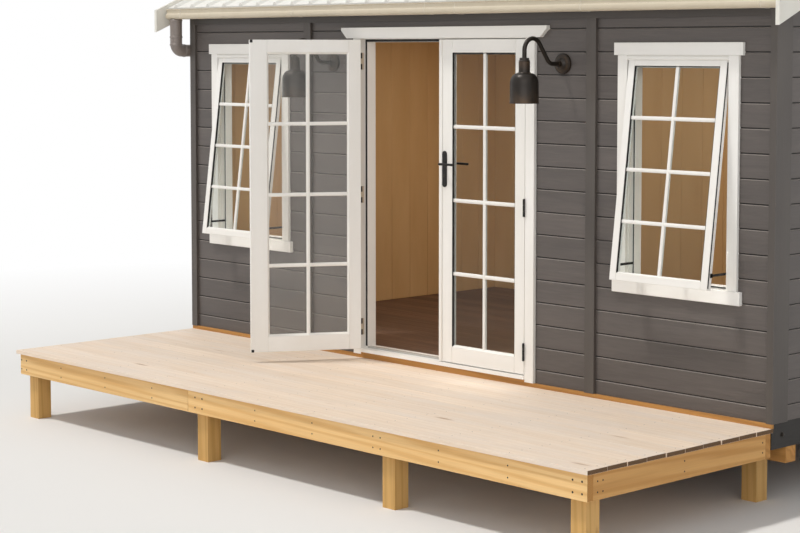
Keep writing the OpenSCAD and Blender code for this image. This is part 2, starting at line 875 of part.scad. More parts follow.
module downpipe() {
    low_z = pipe_elbow_z - 2 * pipe_bend;
    foot_z = pipe_foot - deck_h;
    placed() color("#6b645e") front_and_back() translate([pipe_x, pipe_y, 0]) {
        translate([0, 0, pipe_elbow_z]) tube(gutter_z - pipe_elbow_z);
        translate([0, pipe_bend, pipe_elbow_z]) mirror([0, 1, 0]) mirror([0, 0, 1]) quarter_bend();
        translate([0, pipe_bend, pipe_elbow_z - pipe_bend]) rotate([-90, 0, 0]) tube(pipe_run);
        translate([0, pipe_bend + pipe_run, pipe_elbow_z - 2 * pipe_bend]) quarter_bend();
        translate([0, 2 * pipe_bend + pipe_run, foot_z]) tube(low_z - foot_z);
    }
}

// Deck

module deck_boards() {
    placed() color(deck_pine)
        box([-deck_x, -deck_d, -board_t], [deck_x, skirt_y, 0]);
}

module deck_fascia() {
    placed() color(new_pine)
        box([-deck_end_x, fascia_y, deck_joist_z], [deck_end_x, fascia_y + joist_t, -board_t]);
}

// The left face of a deck joist, counted from the left end
function joist_x(i) = -deck_end_x + i * (2 * deck_end_x - joist_t) / (deck_joist_count - 1);

module deck_joists() {
    placed() color(new_pine)
        for (i = [0 : deck_joist_count - 1])
            box([joist_x(i), fascia_y + joist_t, deck_joist_z], [joist_x(i) + joist_t, ledger_y, -board_t]);
}

// The board on the skirt that carries the inner ends of the joists
module deck_ledger() {
    placed() color(new_pine)
        box([-deck_end_x, ledger_y, deck_joist_z], [deck_end_x, skirt_y, -board_t]);
}

// The posts stand behind the fascia, each against the side of a joist
module deck_posts() {
    front = fascia_y + joist_t;
    lefts = [joist_x(0) + joist_t, joist_x(post2_joist_count) - post_w,
        joist_x(post3_joist_count) + joist_t, joist_x(deck_joist_count - 1) - post_w];
    placed() color(new_pine)
        for (x = lefts) box([x, front, -deck_h], [x + post_w, front + post_w, -board_t]);
}

// The strip along the foot of the wall, thicker under the door sill
module deck_packer() {
    placed() color(deck_pine) {
        box([-deck_x, packer_y, 0], [deck_x, skirt_y, wall_base]);
        at_door() box([-jamb_x, packer_y, 0], [jamb_x, skirt_y, sill_z]);
        at_door() box([-jamb_x, skirt_y - 1, wall_base], [jamb_x, stop_y, sill_z]);
    }
}

// Lamps. The arm is drawn in a plane, outwards from the wall and up from the wall plate's centre

low_centre = [arm_low_y, arm_low_r];
top_centre = [lamp_reach - arm_top_r, arm_top_z];
span = top_centre - low_centre;
bends = arm_low_r + arm_top_r;
straight = sqrt(span[0] * span[0] + span[1] * span[1] - bends * bends);
turn = atan2(span[1], span[0]) - atan2(straight, bends);

module arm_bend(radius, from, sweep) {
    rotate([0, 0, from]) rotate_extrude(angle = sweep) translate([radius, 0]) circle(d = arm_d);
}

module arm_tube() {
    lap = 3;
    sleeve_d = arm_d + 0.8;
    translate([-wall_y, 0, 0]) rotate([0, 90, 0]) cylinder(h = low_centre[0] + wall_y + lap, d = sleeve_d);
    rotate([90, 0, 0]) {
        translate([low_centre[0], low_centre[1], 0]) arm_bend(arm_low_r, -90, turn + 90);
        translate([low_centre[0] + arm_low_r * cos(turn), low_centre[1] + arm_low_r * sin(turn), 0])
            rotate([0, 0, turn + 90]) rotate([0, 90, 0]) translate([0, 0, -lap])
                cylinder(h = straight + 2 * lap, d = sleeve_d);
        translate([top_centre[0], top_centre[1], 0]) arm_bend(arm_top_r, 0, turn + 180);
    }
    translate([lamp_reach, 0, shade_top_z]) cylinder(h = arm_top_z - shade_top_z + lap, d = sleeve_d);
}

module at_lamps() {
    at_door() both_ends() translate([lamp_x, 0, lamp_z]) children();
}

module lamp_arms() {
    plate_y = -2;
    boss_l = 14;
    boss_low_d = 0.62 * lamp_plate_d;
    placed() color(bronze) at_lamps() {
        rotate([0, 0, -90]) arm_tube();
        translate([0, wall_y, 0]) rotate([90, 0, 0]) cylinder(h = wall_y - plate_y, d = lamp_plate_d);
        translate([0, plate_y, 0]) rotate([90, 0, 0]) cylinder(h = boss_l, d1 = boss_low_d, d2 = 1.6 * arm_d);
    }
}

// The shade's outer line from the rim up to the cap, as radius and height below the neck's top
module shade_half(inset) {
    rim = shade_d / 2 - inset;
    neck = neck_d / 2 - inset;
    bell_in = neck + 8;
    bell_out = rim - 3;
    low = -neck_h - shade_h - inset;
    bell = [for (i = [0 : bell_steps])
        let (a = i * 90 / bell_steps)
        [bell_in + (bell_out - bell_in) * cos(a), -neck_h - shoulder_h - inset + shoulder_h * sin(a)]];
    cap_top = cap_h - inset;
    cap = [[neck, -neck_h - inset], [neck, -inset], [1.1 * arm_d - inset / 2, cap_top], [0, cap_top]];
    polygon(concat([[0, low], [rim, low]], bell, cap));
}

module lamp_shades() {
    hollow = neck_h + shade_h + 2;
    neck_solid = 0.4 * neck_h;
    placed() color(bronze) at_lamps()
        translate([0, -lamp_reach, shade_top_z - cap_h]) difference() {
            rotate_extrude() shade_half(0);
            rotate_extrude() intersection() {
                shade_half(shade_wall);
                translate([0, -hollow]) square([shade_d, hollow - neck_solid]);
            }
        }
}

stumps();
floor_bearers();
floor_joists();
long_skirts();
end_skirts();
floor();
front_wall_left();
front_wall_right();
front_wall_over_door();
left_end_wall();
right_end_wall();
back_wall();
ceiling();
corner_boards();
cover_strips();
frieze_boards();
window_trims();
window_frames();
window_sashes();
window_glass();
window_stays();
door_frame();
door_sill();
door_head_trim();
frame_hinges();
left_leaf();
left_leaf_glass();
left_leaf_hardware();
right_leaf();
right_leaf_glass();
right_leaf_hardware();
door_levers();
roof_front();
roof_back();
ridge_cap();
barge_boards();
fascia_boards();
gutter_floors();
gutter_bends();
gutter_fronts();
gutter_backs();
gutter_ends();
downpipe();
deck_boards();
deck_fascia();
deck_joists();
deck_ledger();
deck_posts();
deck_packer();
lamp_arms();
lamp_shades();
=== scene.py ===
"""Garden office pod: its boards, joinery, roofing, fixings and finishes, built round the fixed frame.

Lengths are in metres. Sub-assemblies are drawn in the pod's own terms: x along the front wall from its
middle, y into the pod from the face of the front trims, and z above the deck boards.
"""

import json
import logging
import math
from dataclasses import dataclass, field, replace
from enum import Enum
from itertools import product
from typing import Callable, Iterable, Sequence

import bmesh
import bpy
from mathutils import Matrix, Vector


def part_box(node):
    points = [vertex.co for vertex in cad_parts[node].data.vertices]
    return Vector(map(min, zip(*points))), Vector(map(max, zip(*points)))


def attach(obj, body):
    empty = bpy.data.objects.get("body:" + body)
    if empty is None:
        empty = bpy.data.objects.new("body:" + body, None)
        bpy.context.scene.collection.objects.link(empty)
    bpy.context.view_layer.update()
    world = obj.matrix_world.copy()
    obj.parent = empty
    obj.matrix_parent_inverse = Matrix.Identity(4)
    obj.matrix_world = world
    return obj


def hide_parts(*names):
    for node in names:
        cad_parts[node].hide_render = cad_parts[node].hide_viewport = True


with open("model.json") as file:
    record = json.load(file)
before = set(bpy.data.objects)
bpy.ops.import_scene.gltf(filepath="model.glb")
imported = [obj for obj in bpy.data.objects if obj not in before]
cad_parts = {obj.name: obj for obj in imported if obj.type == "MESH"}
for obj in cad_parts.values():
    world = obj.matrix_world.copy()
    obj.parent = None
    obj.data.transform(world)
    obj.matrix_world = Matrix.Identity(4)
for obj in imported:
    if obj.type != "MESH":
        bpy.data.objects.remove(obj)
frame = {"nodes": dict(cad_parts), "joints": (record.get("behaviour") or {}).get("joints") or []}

log = logging.getLogger("garden_office_pod")

Point = Sequence[float]
Outline = list[tuple[float, float]]
Edge = Callable[[float], float]
Reach = float | Callable[[float, float], float]
Socket = bpy.types.NodeSocket
Piece = bpy.types.Object


class Axis(Enum):
    """The direction of a bar, of a board or of its grain."""

    X = 0
    Y = 1
    Z = 2

    @property
    def others(self) -> tuple[int, int]:
        """The two directions across this one."""
        first, second = (k for k in range(3) if k != self.value)
        return first, second


class Side(Enum):
    """Left and right, as seen from in front of the pod."""

    LEFT = -1
    RIGHT = 1

    @property
    def word(self) -> str:
        """The side's name in the names of pieces."""
        return self.name.lower()


class Wall(Enum):
    """The four walls."""

    FRONT = "front"
    BACK = "back"
    LEFT = "left"
    RIGHT = "right"

    @property
    def run(self) -> Axis:
        """The direction along the wall."""
        return Axis.X if self in (Wall.FRONT, Wall.BACK) else Axis.Y

    @property
    def sign(self) -> int:
        """The way out of the wall: minus one or one."""
        return -1 if self in (Wall.FRONT, Wall.LEFT) else 1


def linear(code: str) -> tuple[float, float, float, float]:
    """Turns a colour code into the linear values that shaders take.

    Args:
        code: A hash sign and six hexadecimal digits.

    Returns:
        Red, green, blue and an alpha of one.
    """
    parts = [int(code[i:i + 2], 16) / 255 for i in (1, 3, 5)]
    red, green, blue = (p / 12.92 if p <= 0.04045 else ((p + 0.055) / 1.055) ** 2.4 for p in parts)
    return red, green, blue, 1.0


class Graph:
    """Builds the node tree of a material or of the sky."""

    def __init__(self, owner: bpy.types.Material | bpy.types.World) -> None:
        """Starts the owner's tree with one shader.

        Args:
            owner: What the tree belongs to.
        """
        owner.use_nodes = True
        self.tree = owner.node_tree
        self.tree.nodes.clear()
        sky = isinstance(owner, bpy.types.World)
        self.output = self.node("ShaderNodeOutputWorld" if sky else "ShaderNodeOutputMaterial")
        self.shader = self.node("ShaderNodeBackground" if sky else "ShaderNodeBsdfPrincipled")
        self.show(self.shader.outputs[0])

    def node(self, kind: str, inputs: dict[str | int, object] | None = None, **settings: object) -> bpy.types.Node:
        """Adds a node.

        Args:
            kind: The node's type.
            inputs: What its inputs take, by name or number.
            settings: Properties to set on it.

        Returns:
            The new node.
        """
        made = self.tree.nodes.new(kind)
        for key, value in settings.items():
            setattr(made, key, value)
        for key, value in (inputs or {}).items():
            self.feed(made.inputs[key], value)
        return made

    def feed(self, target: Socket, value: object) -> None:
        """Gives an input a value, or joins it to the output that makes one.

        Args:
            target: The input.
            value: A value, a colour code or an output.
        """
        if isinstance(value, bpy.types.NodeSocket):
            self.tree.links.new(value, target)
        else:
            target.default_value = linear(value) if isinstance(value, str) else value

    def set(self, **inputs: object) -> None:
        """Feeds the shader's inputs, named with underscores for spaces."""
        for key, value in inputs.items():
            self.feed(self.shader.inputs[key.replace("_", " ")], value)

    def show(self, surface: Socket) -> None:
        """Makes a shader the one that is seen."""
        self.feed(self.output.inputs["Surface"], surface)

    def blend(self, share: Socket, first: Socket, second: Socket) -> Socket:
        """Blends two shaders by the second one's share."""
        return self.node("ShaderNodeMixShader", {0: share, 1: first, 2: second}).outputs[0]

    def math(self, operation: str, first: object, second: object) -> Socket:
        """Does one step of arithmetic with values or outputs."""
        return self.node("ShaderNodeMath", {0: first, 1: second}, operation=operation).outputs[0]

    def seen(self) -> Socket:
        """Tells what the camera sees, straight, mirrored or through glass.

        Returns:
            One for that and nought for the rest.
        """
        path = self.node("ShaderNodeLightPath").outputs
        share = self.math("MAXIMUM", path["Is Camera Ray"], path["Is Glossy Ray"])
        return self.math("MAXIMUM", share, path["Is Transmission Ray"])

    def board(self) -> Socket:
        """The number of the board that a face belongs to."""
        return self.node("ShaderNodeAttribute", attribute_name="board").outputs["Fac"]

    def chance(self) -> Socket:
        """A value from 0 to 1 that is the same all over one board."""
        return self.node("ShaderNodeTexWhiteNoise", {"W": self.board()}, noise_dimensions="1D").outputs["Value"]

    def grain(self, run: Axis, along: float, across: float) -> Socket:
        """Coordinates stretched along the grain and shifted from board to board.

        Args:
            run: The direction of the grain.
            along: Scale along the grain.
            across: Scale across it.

        Returns:
            The vector output.
        """
        place = self.node("ShaderNodeTexCoord").outputs["Object"]
        shift = self.node("ShaderNodeVectorMath", {0: (3.7, 5.3, 7.1), "Scale": self.board()}, operation="SCALE")
        scale = [along if axis is run else across for axis in Axis]
        return self.node("ShaderNodeVectorMath", {0: place, 1: scale, 2: shift.outputs[0]},
                         operation="MULTIPLY_ADD").outputs[0]

    def noise(self, run: Axis, along: float, across: float, detail: float = 3.0, roughness: float = 0.5,
              warp: float = 0.0) -> Socket:
        """Noise stretched along the grain.

        Args:
            run: The direction of the grain.
            along: Scale along the grain.
            across: Scale across it.
            detail: Octaves.
            roughness: Weight of the finer octaves.
            warp: Distortion.

        Returns:
            A value around a half.
        """
        inputs = {"Vector": self.grain(run, along, across), "Scale": 1.0, "Detail": detail,
                  "Roughness": roughness, "Distortion": warp}
        return self.node("ShaderNodeTexNoise", inputs).outputs["Fac"]

    def remap(self, value: Socket, low: float, high: float, to_low: float = 0.0, to_high: float = 1.0) -> Socket:
        """Maps a value from one range to another and keeps it there."""
        inputs = {"Value": value, "From Min": low, "From Max": high, "To Min": to_low, "To Max": to_high}
        return self.node("ShaderNodeMapRange", inputs).outputs["Result"]

    def mix(self, share: object, first: object, second: object) -> Socket:
        """Blends two colours.

        Args:
            share: How much of the second colour shows.
            first: A colour code or a colour output.
            second: A colour code or a colour output.

        Returns:
            The blended colour.
        """
        made = self.node("ShaderNodeMix", {"Factor": share}, data_type="RGBA")
        for target, colour in zip([s for s in made.inputs if s.type == "RGBA"], (first, second)):
            self.feed(target, colour)
        return next(s for s in made.outputs if s.type == "RGBA")

    def lighten(self, colour: object, amount: Socket) -> Socket:
        """Scales a colour's brightness."""
        return self.node("ShaderNodeHueSaturation", {"Color": colour, "Value": amount}).outputs["Color"]

    def facing(self) -> Socket:
        """The direction of a face, without easing."""
        return self.node("ShaderNodeNewGeometry").outputs["True Normal"]

    def ledges(self) -> Socket:
        """One on the faces that look up, and nought on upright ones."""
        return self.remap(self.node("ShaderNodeSeparateXYZ", {0: self.facing()}).outputs["Z"], 0.35, 0.65)

    def knots(self, run: Axis, along: float, across: float, radius: float, share: float) -> Socket:
        """Round spots scattered over the boards.

        Args:
            run: The direction of the grain.
            along: Cells to the metre along the grain.
            across: Cells to the metre across it.
            radius: Size of a spot as a share of a cell.
            share: How many cells hold no spot.

        Returns:
            One in the middle of a spot, falling to nought at its edge.
        """
        place = self.grain(run, along, across)
        cells = self.node("ShaderNodeTexVoronoi", {"Vector": place, "Scale": 1.0}, feature="F1").outputs
        near = self.remap(cells["Distance"], radius, 0.25 * radius)
        parts = self.node("ShaderNodeSeparateColor", {"Color": cells["Color"]})
        return self.math("MULTIPLY", near, self.math("GREATER_THAN", parts.outputs["Red"], share))

    def rounded(self, radius: float) -> Socket:
        """The surface's direction, eased at edges as far as a radius."""
        return self.node("ShaderNodeBevel", {"Radius": radius}, samples=4).outputs["Normal"]

    def edges(self, softened: Socket) -> Socket:
        """One at the edges of a piece and nought on its flats, from the direction that rounded gives."""
        dot = self.node("ShaderNodeVectorMath", {0: self.facing(), 1: softened}, operation="DOT_PRODUCT")
        return self.remap(dot.outputs["Value"], 0.995, 0.9)

    def bump(self, height: Socket, distance: float, normal: Socket | None = None, strength: float = 1.0) -> None:
        """Puts a relief on the surface.

        Args:
            height: The relief's height from 0 to 1.
            distance: Its depth in metres.
            normal: A direction to start from.
            strength: How strongly it shows.
        """
        inputs = {"Height": height, "Distance": distance, "Strength": strength}
        if normal is not None:
            inputs["Normal"] = normal
        self.set(Normal=self.node("ShaderNodeBump", inputs).outputs["Normal"])


@dataclass(frozen=True)
class Finish:
    """A surface finish and the record's slot that it stands for."""

    name: str
    slot: str

    def material(self) -> bpy.types.Material:
        """Makes the finish's material when it is first asked for.

        Returns:
            The material.
        """
        found = bpy.data.materials.get(self.name)
        if found is None:
            found = bpy.data.materials.new(self.name)
            self.paint(Graph(found))
        return found

    def paint(self, graph: Graph) -> None:
        """Fills a material."""
        raise NotImplementedError


@dataclass(frozen=True)
class PaintedTimber(Finish):
    """Paint on dressed timber, with the grain standing through it, and where a colour is given, a painted highlight on
    faces that look up.
    """

    colour: str
    shade: str
    run: Axis = Axis.X
    relief: float = 0.0005
    gloss: float = 0.42
    spread: float = 0.05
    figure: float = 0.012
    wear: str = ""
    ledge: str = ""

    def paint(self, graph: Graph) -> None:
        """Fills a material.

        Args:
            graph: Its node tree.
        """
        softened = graph.rounded(0.0015)
        broad = graph.noise(self.run, 1.1, 5.0, detail=3)
        fibres = graph.noise(self.run, 7.0, 150.0, detail=5, roughness=0.62, warp=0.4)
        figure = graph.noise(self.run, 2.6, 34.0, detail=4, roughness=0.55, warp=1.6)
        colour = graph.mix(graph.remap(broad, 0.3, 0.7), self.colour, self.shade)
        colour = graph.lighten(colour, graph.remap(graph.chance(), 0.0, 1.0, 1 - self.spread, 1 + self.spread))
        colour = graph.lighten(colour, graph.remap(figure, 0.35, 0.65, 1 - self.figure, 1 + self.figure))
        if self.wear:
            rubbed = graph.math("MULTIPLY", graph.edges(softened), graph.remap(broad, 0.35, 0.7, 0.1, 0.7))
            colour = graph.mix(rubbed, colour, self.wear)
        # Painted highlight: faces that look up, such as the boards' top chamfers, are blended towards a lighter colour
        # as if they caught the sky.
        if self.ledge:
            colour = graph.mix(graph.ledges(), colour, self.ledge)
        height = graph.math("ADD", graph.math("MULTIPLY", fibres, 0.45), graph.math("MULTIPLY", figure, 0.55))
        graph.bump(height, self.relief, softened)
        roughness = graph.remap(figure, 0.3, 0.7, self.gloss - 0.06, self.gloss + 0.08)
        graph.set(Base_Color=colour, Roughness=roughness, Specular_IOR_Level=0.45)


@dataclass(frozen=True)
class BareTimber(Finish):
    """Planed softwood or floor timber with its rings, fibres and knots."""

    pale: str
    deep: str
    knot: str
    run: Axis = Axis.X
    weathered: str = ""
    rings: float = 1.0
    spread: float = 0.08
    relief: float = 0.0004

    def paint(self, graph: Graph) -> None:
        """Fills a material.

        Args:
            graph: Its node tree.
        """
        softened = graph.rounded(0.002)
        warp = graph.noise(self.run, 0.9, 7.0, detail=2)
        waves = {"Vector": graph.grain(self.run, 0.35, 9.0), "Scale": 1.3, "Distortion": 9.0, "Detail": 2.5,
                 "Detail Scale": 0.8}
        bands = graph.node("ShaderNodeTexWave", waves, wave_type="BANDS", bands_direction="DIAGONAL")
        rings = graph.remap(bands.outputs["Fac"], 0.35, 1.0)
        fibres = graph.noise(self.run, 5.0, 240.0, detail=4, roughness=0.6)
        spots = graph.knots(self.run, 1.7, 9.0, 0.16, 0.62)
        streaks = graph.math("MULTIPLY", rings, 0.55 * self.rings)
        colour = graph.mix(streaks, self.pale, self.deep)
        colour = graph.mix(graph.remap(warp, 0.35, 0.75, 0.0, 0.45), colour, self.deep)
        amount = graph.remap(graph.chance(), 0.0, 1.0, 1 - self.spread, 1 + self.spread)
        colour = graph.lighten(colour, amount)
        colour = graph.lighten(colour, graph.remap(fibres, 0.3, 0.7, 0.93, 1.06))
        if self.weathered:
            patches = graph.noise(self.run, 1.4, 6.0, detail=4, roughness=0.6)
            colour = graph.mix(graph.remap(patches, 0.42, 0.72, 0.0, 0.75), colour, self.weathered)
        colour = graph.mix(graph.remap(spots, 0.0, 1.0, 0.0, 0.85), colour, self.knot)
        height = graph.math("ADD", graph.math("MULTIPLY", fibres, 0.6), graph.math("MULTIPLY", rings, 0.4))
        graph.bump(height, self.relief, softened)
        graph.set(Base_Color=colour, Roughness=graph.remap(fibres, 0.3, 0.7, 0.52, 0.7), Specular_IOR_Level=0.35)


@dataclass(frozen=True)
class EndGrain(Finish):
    """The sawn ends of boards, with their rings cut across."""

    pale: str
    deep: str

    def paint(self, graph: Graph) -> None:
        """Fills a material.

        Args:
            graph: Its node tree.
        """
        waves = {"Vector": graph.grain(Axis.X, 20.0, 20.0), "Scale": 4.0, "Distortion": 3.0, "Detail": 2.0}
        rings = graph.node("ShaderNodeTexWave", waves, wave_type="RINGS", rings_direction="X")
        saw = graph.noise(Axis.Z, 900.0, 60.0, detail=2)
        share = graph.math("MULTIPLY", rings.outputs["Fac"], 0.7)
        colour = graph.mix(share, self.pale, self.deep)
        graph.bump(saw, 0.0004)
        graph.set(Base_Color=colour, Roughness=graph.remap(saw, 0.3, 0.7, 0.75, 0.9))


@dataclass(frozen=True)
class CoatedSteel(Finish):
    """Factory-coated sheet steel with a painted highlight on its folds and edges, and a trace of run-off."""

    colour: str
    stain: str
    fold: str = "#fbfaf6"
    gloss: float = 0.4
    soiling: float = 0.25

    def paint(self, graph: Graph) -> None:
        """Fills a material.

        Args:
            graph: Its node tree.
        """
        softened = graph.rounded(0.0025)
        runs = graph.noise(Axis.Z, 1.5, 14.0, detail=5, roughness=0.65)
        broad = graph.noise(Axis.X, 1.2, 1.2, detail=3)
        skin = graph.noise(Axis.X, 420.0, 420.0, detail=2)
        dirt = graph.math("MULTIPLY", graph.remap(runs, 0.48, 0.78), graph.remap(broad, 0.3, 0.7, 0.3, 1.0))
        dirt = graph.math("MULTIPLY", dirt, self.soiling)
        colour = graph.mix(dirt, self.colour, self.stain)
        colour = graph.lighten(colour, graph.remap(broad, 0.3, 0.7, 0.985, 1.015))
        # Painted highlight: folds and edges are blended towards a pale colour, standing in for light caught on their
        # rounds.
        colour = graph.mix(graph.math("MULTIPLY", graph.edges(softened), 0.55), colour, self.fold)
        graph.bump(skin, 0.00006, softened)
        graph.set(Base_Color=colour, Roughness=graph.remap(runs, 0.3, 0.75, self.gloss - 0.05, self.gloss + 0.12))


@dataclass(frozen=True)
class DarkMetal(Finish):
    """Dark coated fittings, a little rubbed on their edges."""

    colour: str
    rubbed: str
    gloss: float = 0.38
    metal: float = 0.5

    def paint(self, graph: Graph) -> None:
        """Fills a material.

        Args:
            graph: Its node tree.
        """
        softened = graph.rounded(0.001)
        cloud = graph.noise(Axis.X, 16.0, 16.0, detail=4, roughness=0.6)
        speck = graph.noise(Axis.X, 700.0, 700.0, detail=2)
        edge = graph.math("MULTIPLY", graph.edges(softened), graph.remap(cloud, 0.35, 0.65, 0.15, 0.75))
        colour = graph.lighten(graph.mix(edge, self.colour, self.rubbed),
                               graph.remap(cloud, 0.3, 0.7, 0.88, 1.14))
        graph.bump(speck, 0.00008, softened)
        graph.set(Base_Color=colour, Metallic=self.metal,
                  Roughness=graph.remap(cloud, 0.3, 0.7, self.gloss - 0.06, self.gloss + 0.1))


@dataclass(frozen=True)
class ClearGlass(Finish):
    """Window glass that lets the lamps' light through, clean, or with a whitish veil that is a painted reflection."""

    tint: str
    clarity: float = 1.0

    def paint(self, graph: Graph) -> None:
        """Fills a material.

        Args:
            graph: Its node tree.
        """
        wave = graph.noise(Axis.X, 2.2, 2.2, detail=1)
        graph.bump(wave, 0.0006, strength=0.15)
        film = graph.noise(Axis.X, 9.0, 9.0, detail=4)
        # A clarity under one mixes a share of whitish diffuse colour into the pane: a painted reflection of bright
        # surroundings.
        graph.set(Base_Color=self.tint, Roughness=graph.remap(film, 0.4, 0.8, 0.0, 0.001),
                  Transmission_Weight=self.clarity, IOR=1.2)
        clear = graph.node("ShaderNodeBsdfTransparent").outputs[0]
        shadow = graph.node("ShaderNodeLightPath").outputs["Is Shadow Ray"]
        graph.show(graph.blend(shadow, graph.shader.outputs[0], clear))


@dataclass(frozen=True)
class SealRubber(Finish):
    """Black weather seals."""

    colour: str

    def paint(self, graph: Graph) -> None:
        """Fills a material.

        Args:
            graph: Its node tree.
        """
        dust = graph.noise(Axis.X, 60.0, 60.0, detail=4)
        graph.bump(dust, 0.0001)
        graph.set(Base_Color=graph.lighten(self.colour, graph.remap(dust, 0.3, 0.7, 0.8, 1.5)),
                  Roughness=graph.remap(dust, 0.3, 0.7, 0.6, 0.8))


@dataclass(frozen=True)
class Ground(Finish):
    """The plain pale floor of the setting, which turns to white a few metres away."""

    colour: str
    near: float = 4.6
    far: float = 10.5

    def paint(self, graph: Graph) -> None:
        """Fills a material.

        Args:
            graph: Its node tree.
        """
        cloud = graph.noise(Axis.X, 0.4, 0.4, detail=2)
        graph.set(Base_Color=graph.lighten(self.colour, graph.remap(cloud, 0.3, 0.7, 0.995, 1.005)),
                  Roughness=0.9, Specular_IOR_Level=0.1)
        place = graph.node("ShaderNodeTexCoord").outputs["Object"]
        away = graph.node("ShaderNodeVectorMath", {0: place}, operation="LENGTH")
        share = graph.remap(away.outputs["Value"], self.near, self.far)
        white = graph.node("ShaderNodeEmission").outputs[0]
        graph.show(graph.blend(graph.math("MULTIPLY", share, graph.seen()), graph.shader.outputs[0], white))


class Palette:
    """Every finish of the pod."""

    # The charcoal boards and their end-wall copy carry a painted highlight on the chamfers that look up.
    WALL = PaintedTimber("charcoal_boards", "dark_paint", "#615a56", "#56504d", relief=0.0022, gloss=0.4,
                         spread=0.08, figure=0.08, wear="#857c76", ledge="#958d87")
    END_BOARDS = replace(WALL, name="charcoal_end_boards", run=Axis.Y)
    # Painted shade: the frieze under the eaves, the corner boards and the cover strips take darker copies of the
    # boards' charcoal paint.
    FRIEZE = PaintedTimber("charcoal_frieze", "dark_paint", "#4b4541", "#433e3a", relief=0.0008, figure=0.03,
                           wear="#857b75")
    WALL_UPRIGHT = PaintedTimber("charcoal_trims", "dark_paint", "#57514c", "#4e4844", run=Axis.Z, relief=0.0007,
                                 figure=0.03, wear="#857b75")
    # Painted shade: the wall core behind the boards is near black, so that the joints between the boards read as
    # shadowed gaps.
    WALL_CORE = PaintedTimber("charcoal_core", "dark_paint", "#1f1c1a", "#191715", relief=0.0004, gloss=0.6)
    SKIRT = PaintedTimber("skirt_paint", "dark_paint", "#2a2623", "#211e1b", relief=0.0006, gloss=0.5, figure=0.03)
    END_SKIRT = replace(SKIRT, name="end_skirt_paint", run=Axis.Y)
    WHITE = PaintedTimber("white_paint_level", "white_paint", "#f4f2ee", "#efece6", relief=0.00025, gloss=0.36,
                          spread=0.008, figure=0.006, wear="#e2ddd3")
    WHITE_UPRIGHT = replace(WHITE, name="white_paint_upright", run=Axis.Z)
    CEILING = PaintedTimber("ceiling_paint", "white_paint", "#ece7dd", "#e2dcd0", relief=0.0003, gloss=0.55)
    LINING = PaintedTimber("lining_paint", "white_paint", "#dab684", "#d0aa77", run=Axis.Z, relief=0.0003,
                           gloss=0.5, spread=0.03)
    # The coated steels carry a painted highlight on their folds and edges; the pipe and the threshold strip give their
    # own third colour for it.
    ROOF = CoatedSteel("roof_coating", "cream_metal", "#eceae4", "#d0c9ba", soiling=0.25)
    TRIM_STEEL = CoatedSteel("gutter_coating", "cream_metal", "#d0c4ae", "#ab9c7d", gloss=0.34)
    BARGE = CoatedSteel("barge_coating", "cream_metal", "#e7e4db", "#cdc5b2", gloss=0.42, soiling=0.2)
    PIPE = CoatedSteel("pipe_coating", "pipe_metal", "#857b75", "#5d554f", "#aaa29d", gloss=0.3, soiling=0.4)
    SILL_METAL = CoatedSteel("threshold_strip", "white_paint", "#b9b6b0", "#8f8b84", "#dedcd8", gloss=0.3)
    PINE = BareTimber("pine_level", "new_pine", "#ebc58b", "#cf9c58", "#85552a")
    # Painted shade: darker copies of the pine for the joists, posts, stumps, ledger, packer and bearers, which sit
    # under the deck and at the foot of the wall; the grain runs their own way.
    PINE_ACROSS = BareTimber("pine_across", "new_pine", "#d3a466", "#ae7a3c", "#7d4f22", run=Axis.Y)
    PINE_UPRIGHT = BareTimber("pine_upright", "new_pine", "#d2a869", "#b58a4a", "#7d5128", run=Axis.Z)
    PINE_FOOT = BareTimber("pine_foot", "new_pine", "#bd8a4c", "#9a6a34", "#6d451d")
    DECK = BareTimber("deck_pine_boards", "deck_pine", "#ecdac7", "#dcc3a9", "#a27a56", weathered="#e3d6ca",
                      rings=0.6, spread=0.07)
    FLOOR = BareTimber("floor_boards_timber", "floor_timber", "#755947", "#543f31", "#35261c", rings=0.8,
                       spread=0.16)
    END_GRAIN = EndGrain("sawn_ends", "deck_pine", "#6e5236", "#46331f")
    SEALED_ENDS = EndGrain("sealed_ends", "deck_pine", "#b5d6b4", "#93bf99")
    FRESH_ENDS = EndGrain("fresh_ends", "new_pine", "#c08c4c", "#94652f")
    BRONZE = DarkMetal("bronze_coating", "bronze", "#241e19", "#6b5137", gloss=0.36, metal=0.5)
    BLACK = DarkMetal("black_fittings", "black_metal", "#191817", "#4a443c", gloss=0.36, metal=0.4)
    FLAP = DarkMetal("hinge_flaps", "black_metal", "#d2c5b1", "#ddd2c0", gloss=0.4, metal=0.1)
    SCREW = DarkMetal("screw_heads", "black_metal", "#3d3833", "#6f675d", gloss=0.4, metal=0.8)
    GLASS = ClearGlass("clear_pane", "clear_glass", "#eef3f1")
    # The open leaf's pane: a faint whitish veil, a painted reflection that lightens the boards seen through it.
    DUSTY_GLASS = ClearGlass("sunlit_pane", "clear_glass", "#f2f1ee", clarity=0.95)
    RUBBER = SealRubber("seal_rubber", "black_metal", "#1a1919")
    GROUND = Ground("pale_floor", "", "#ecebe9")


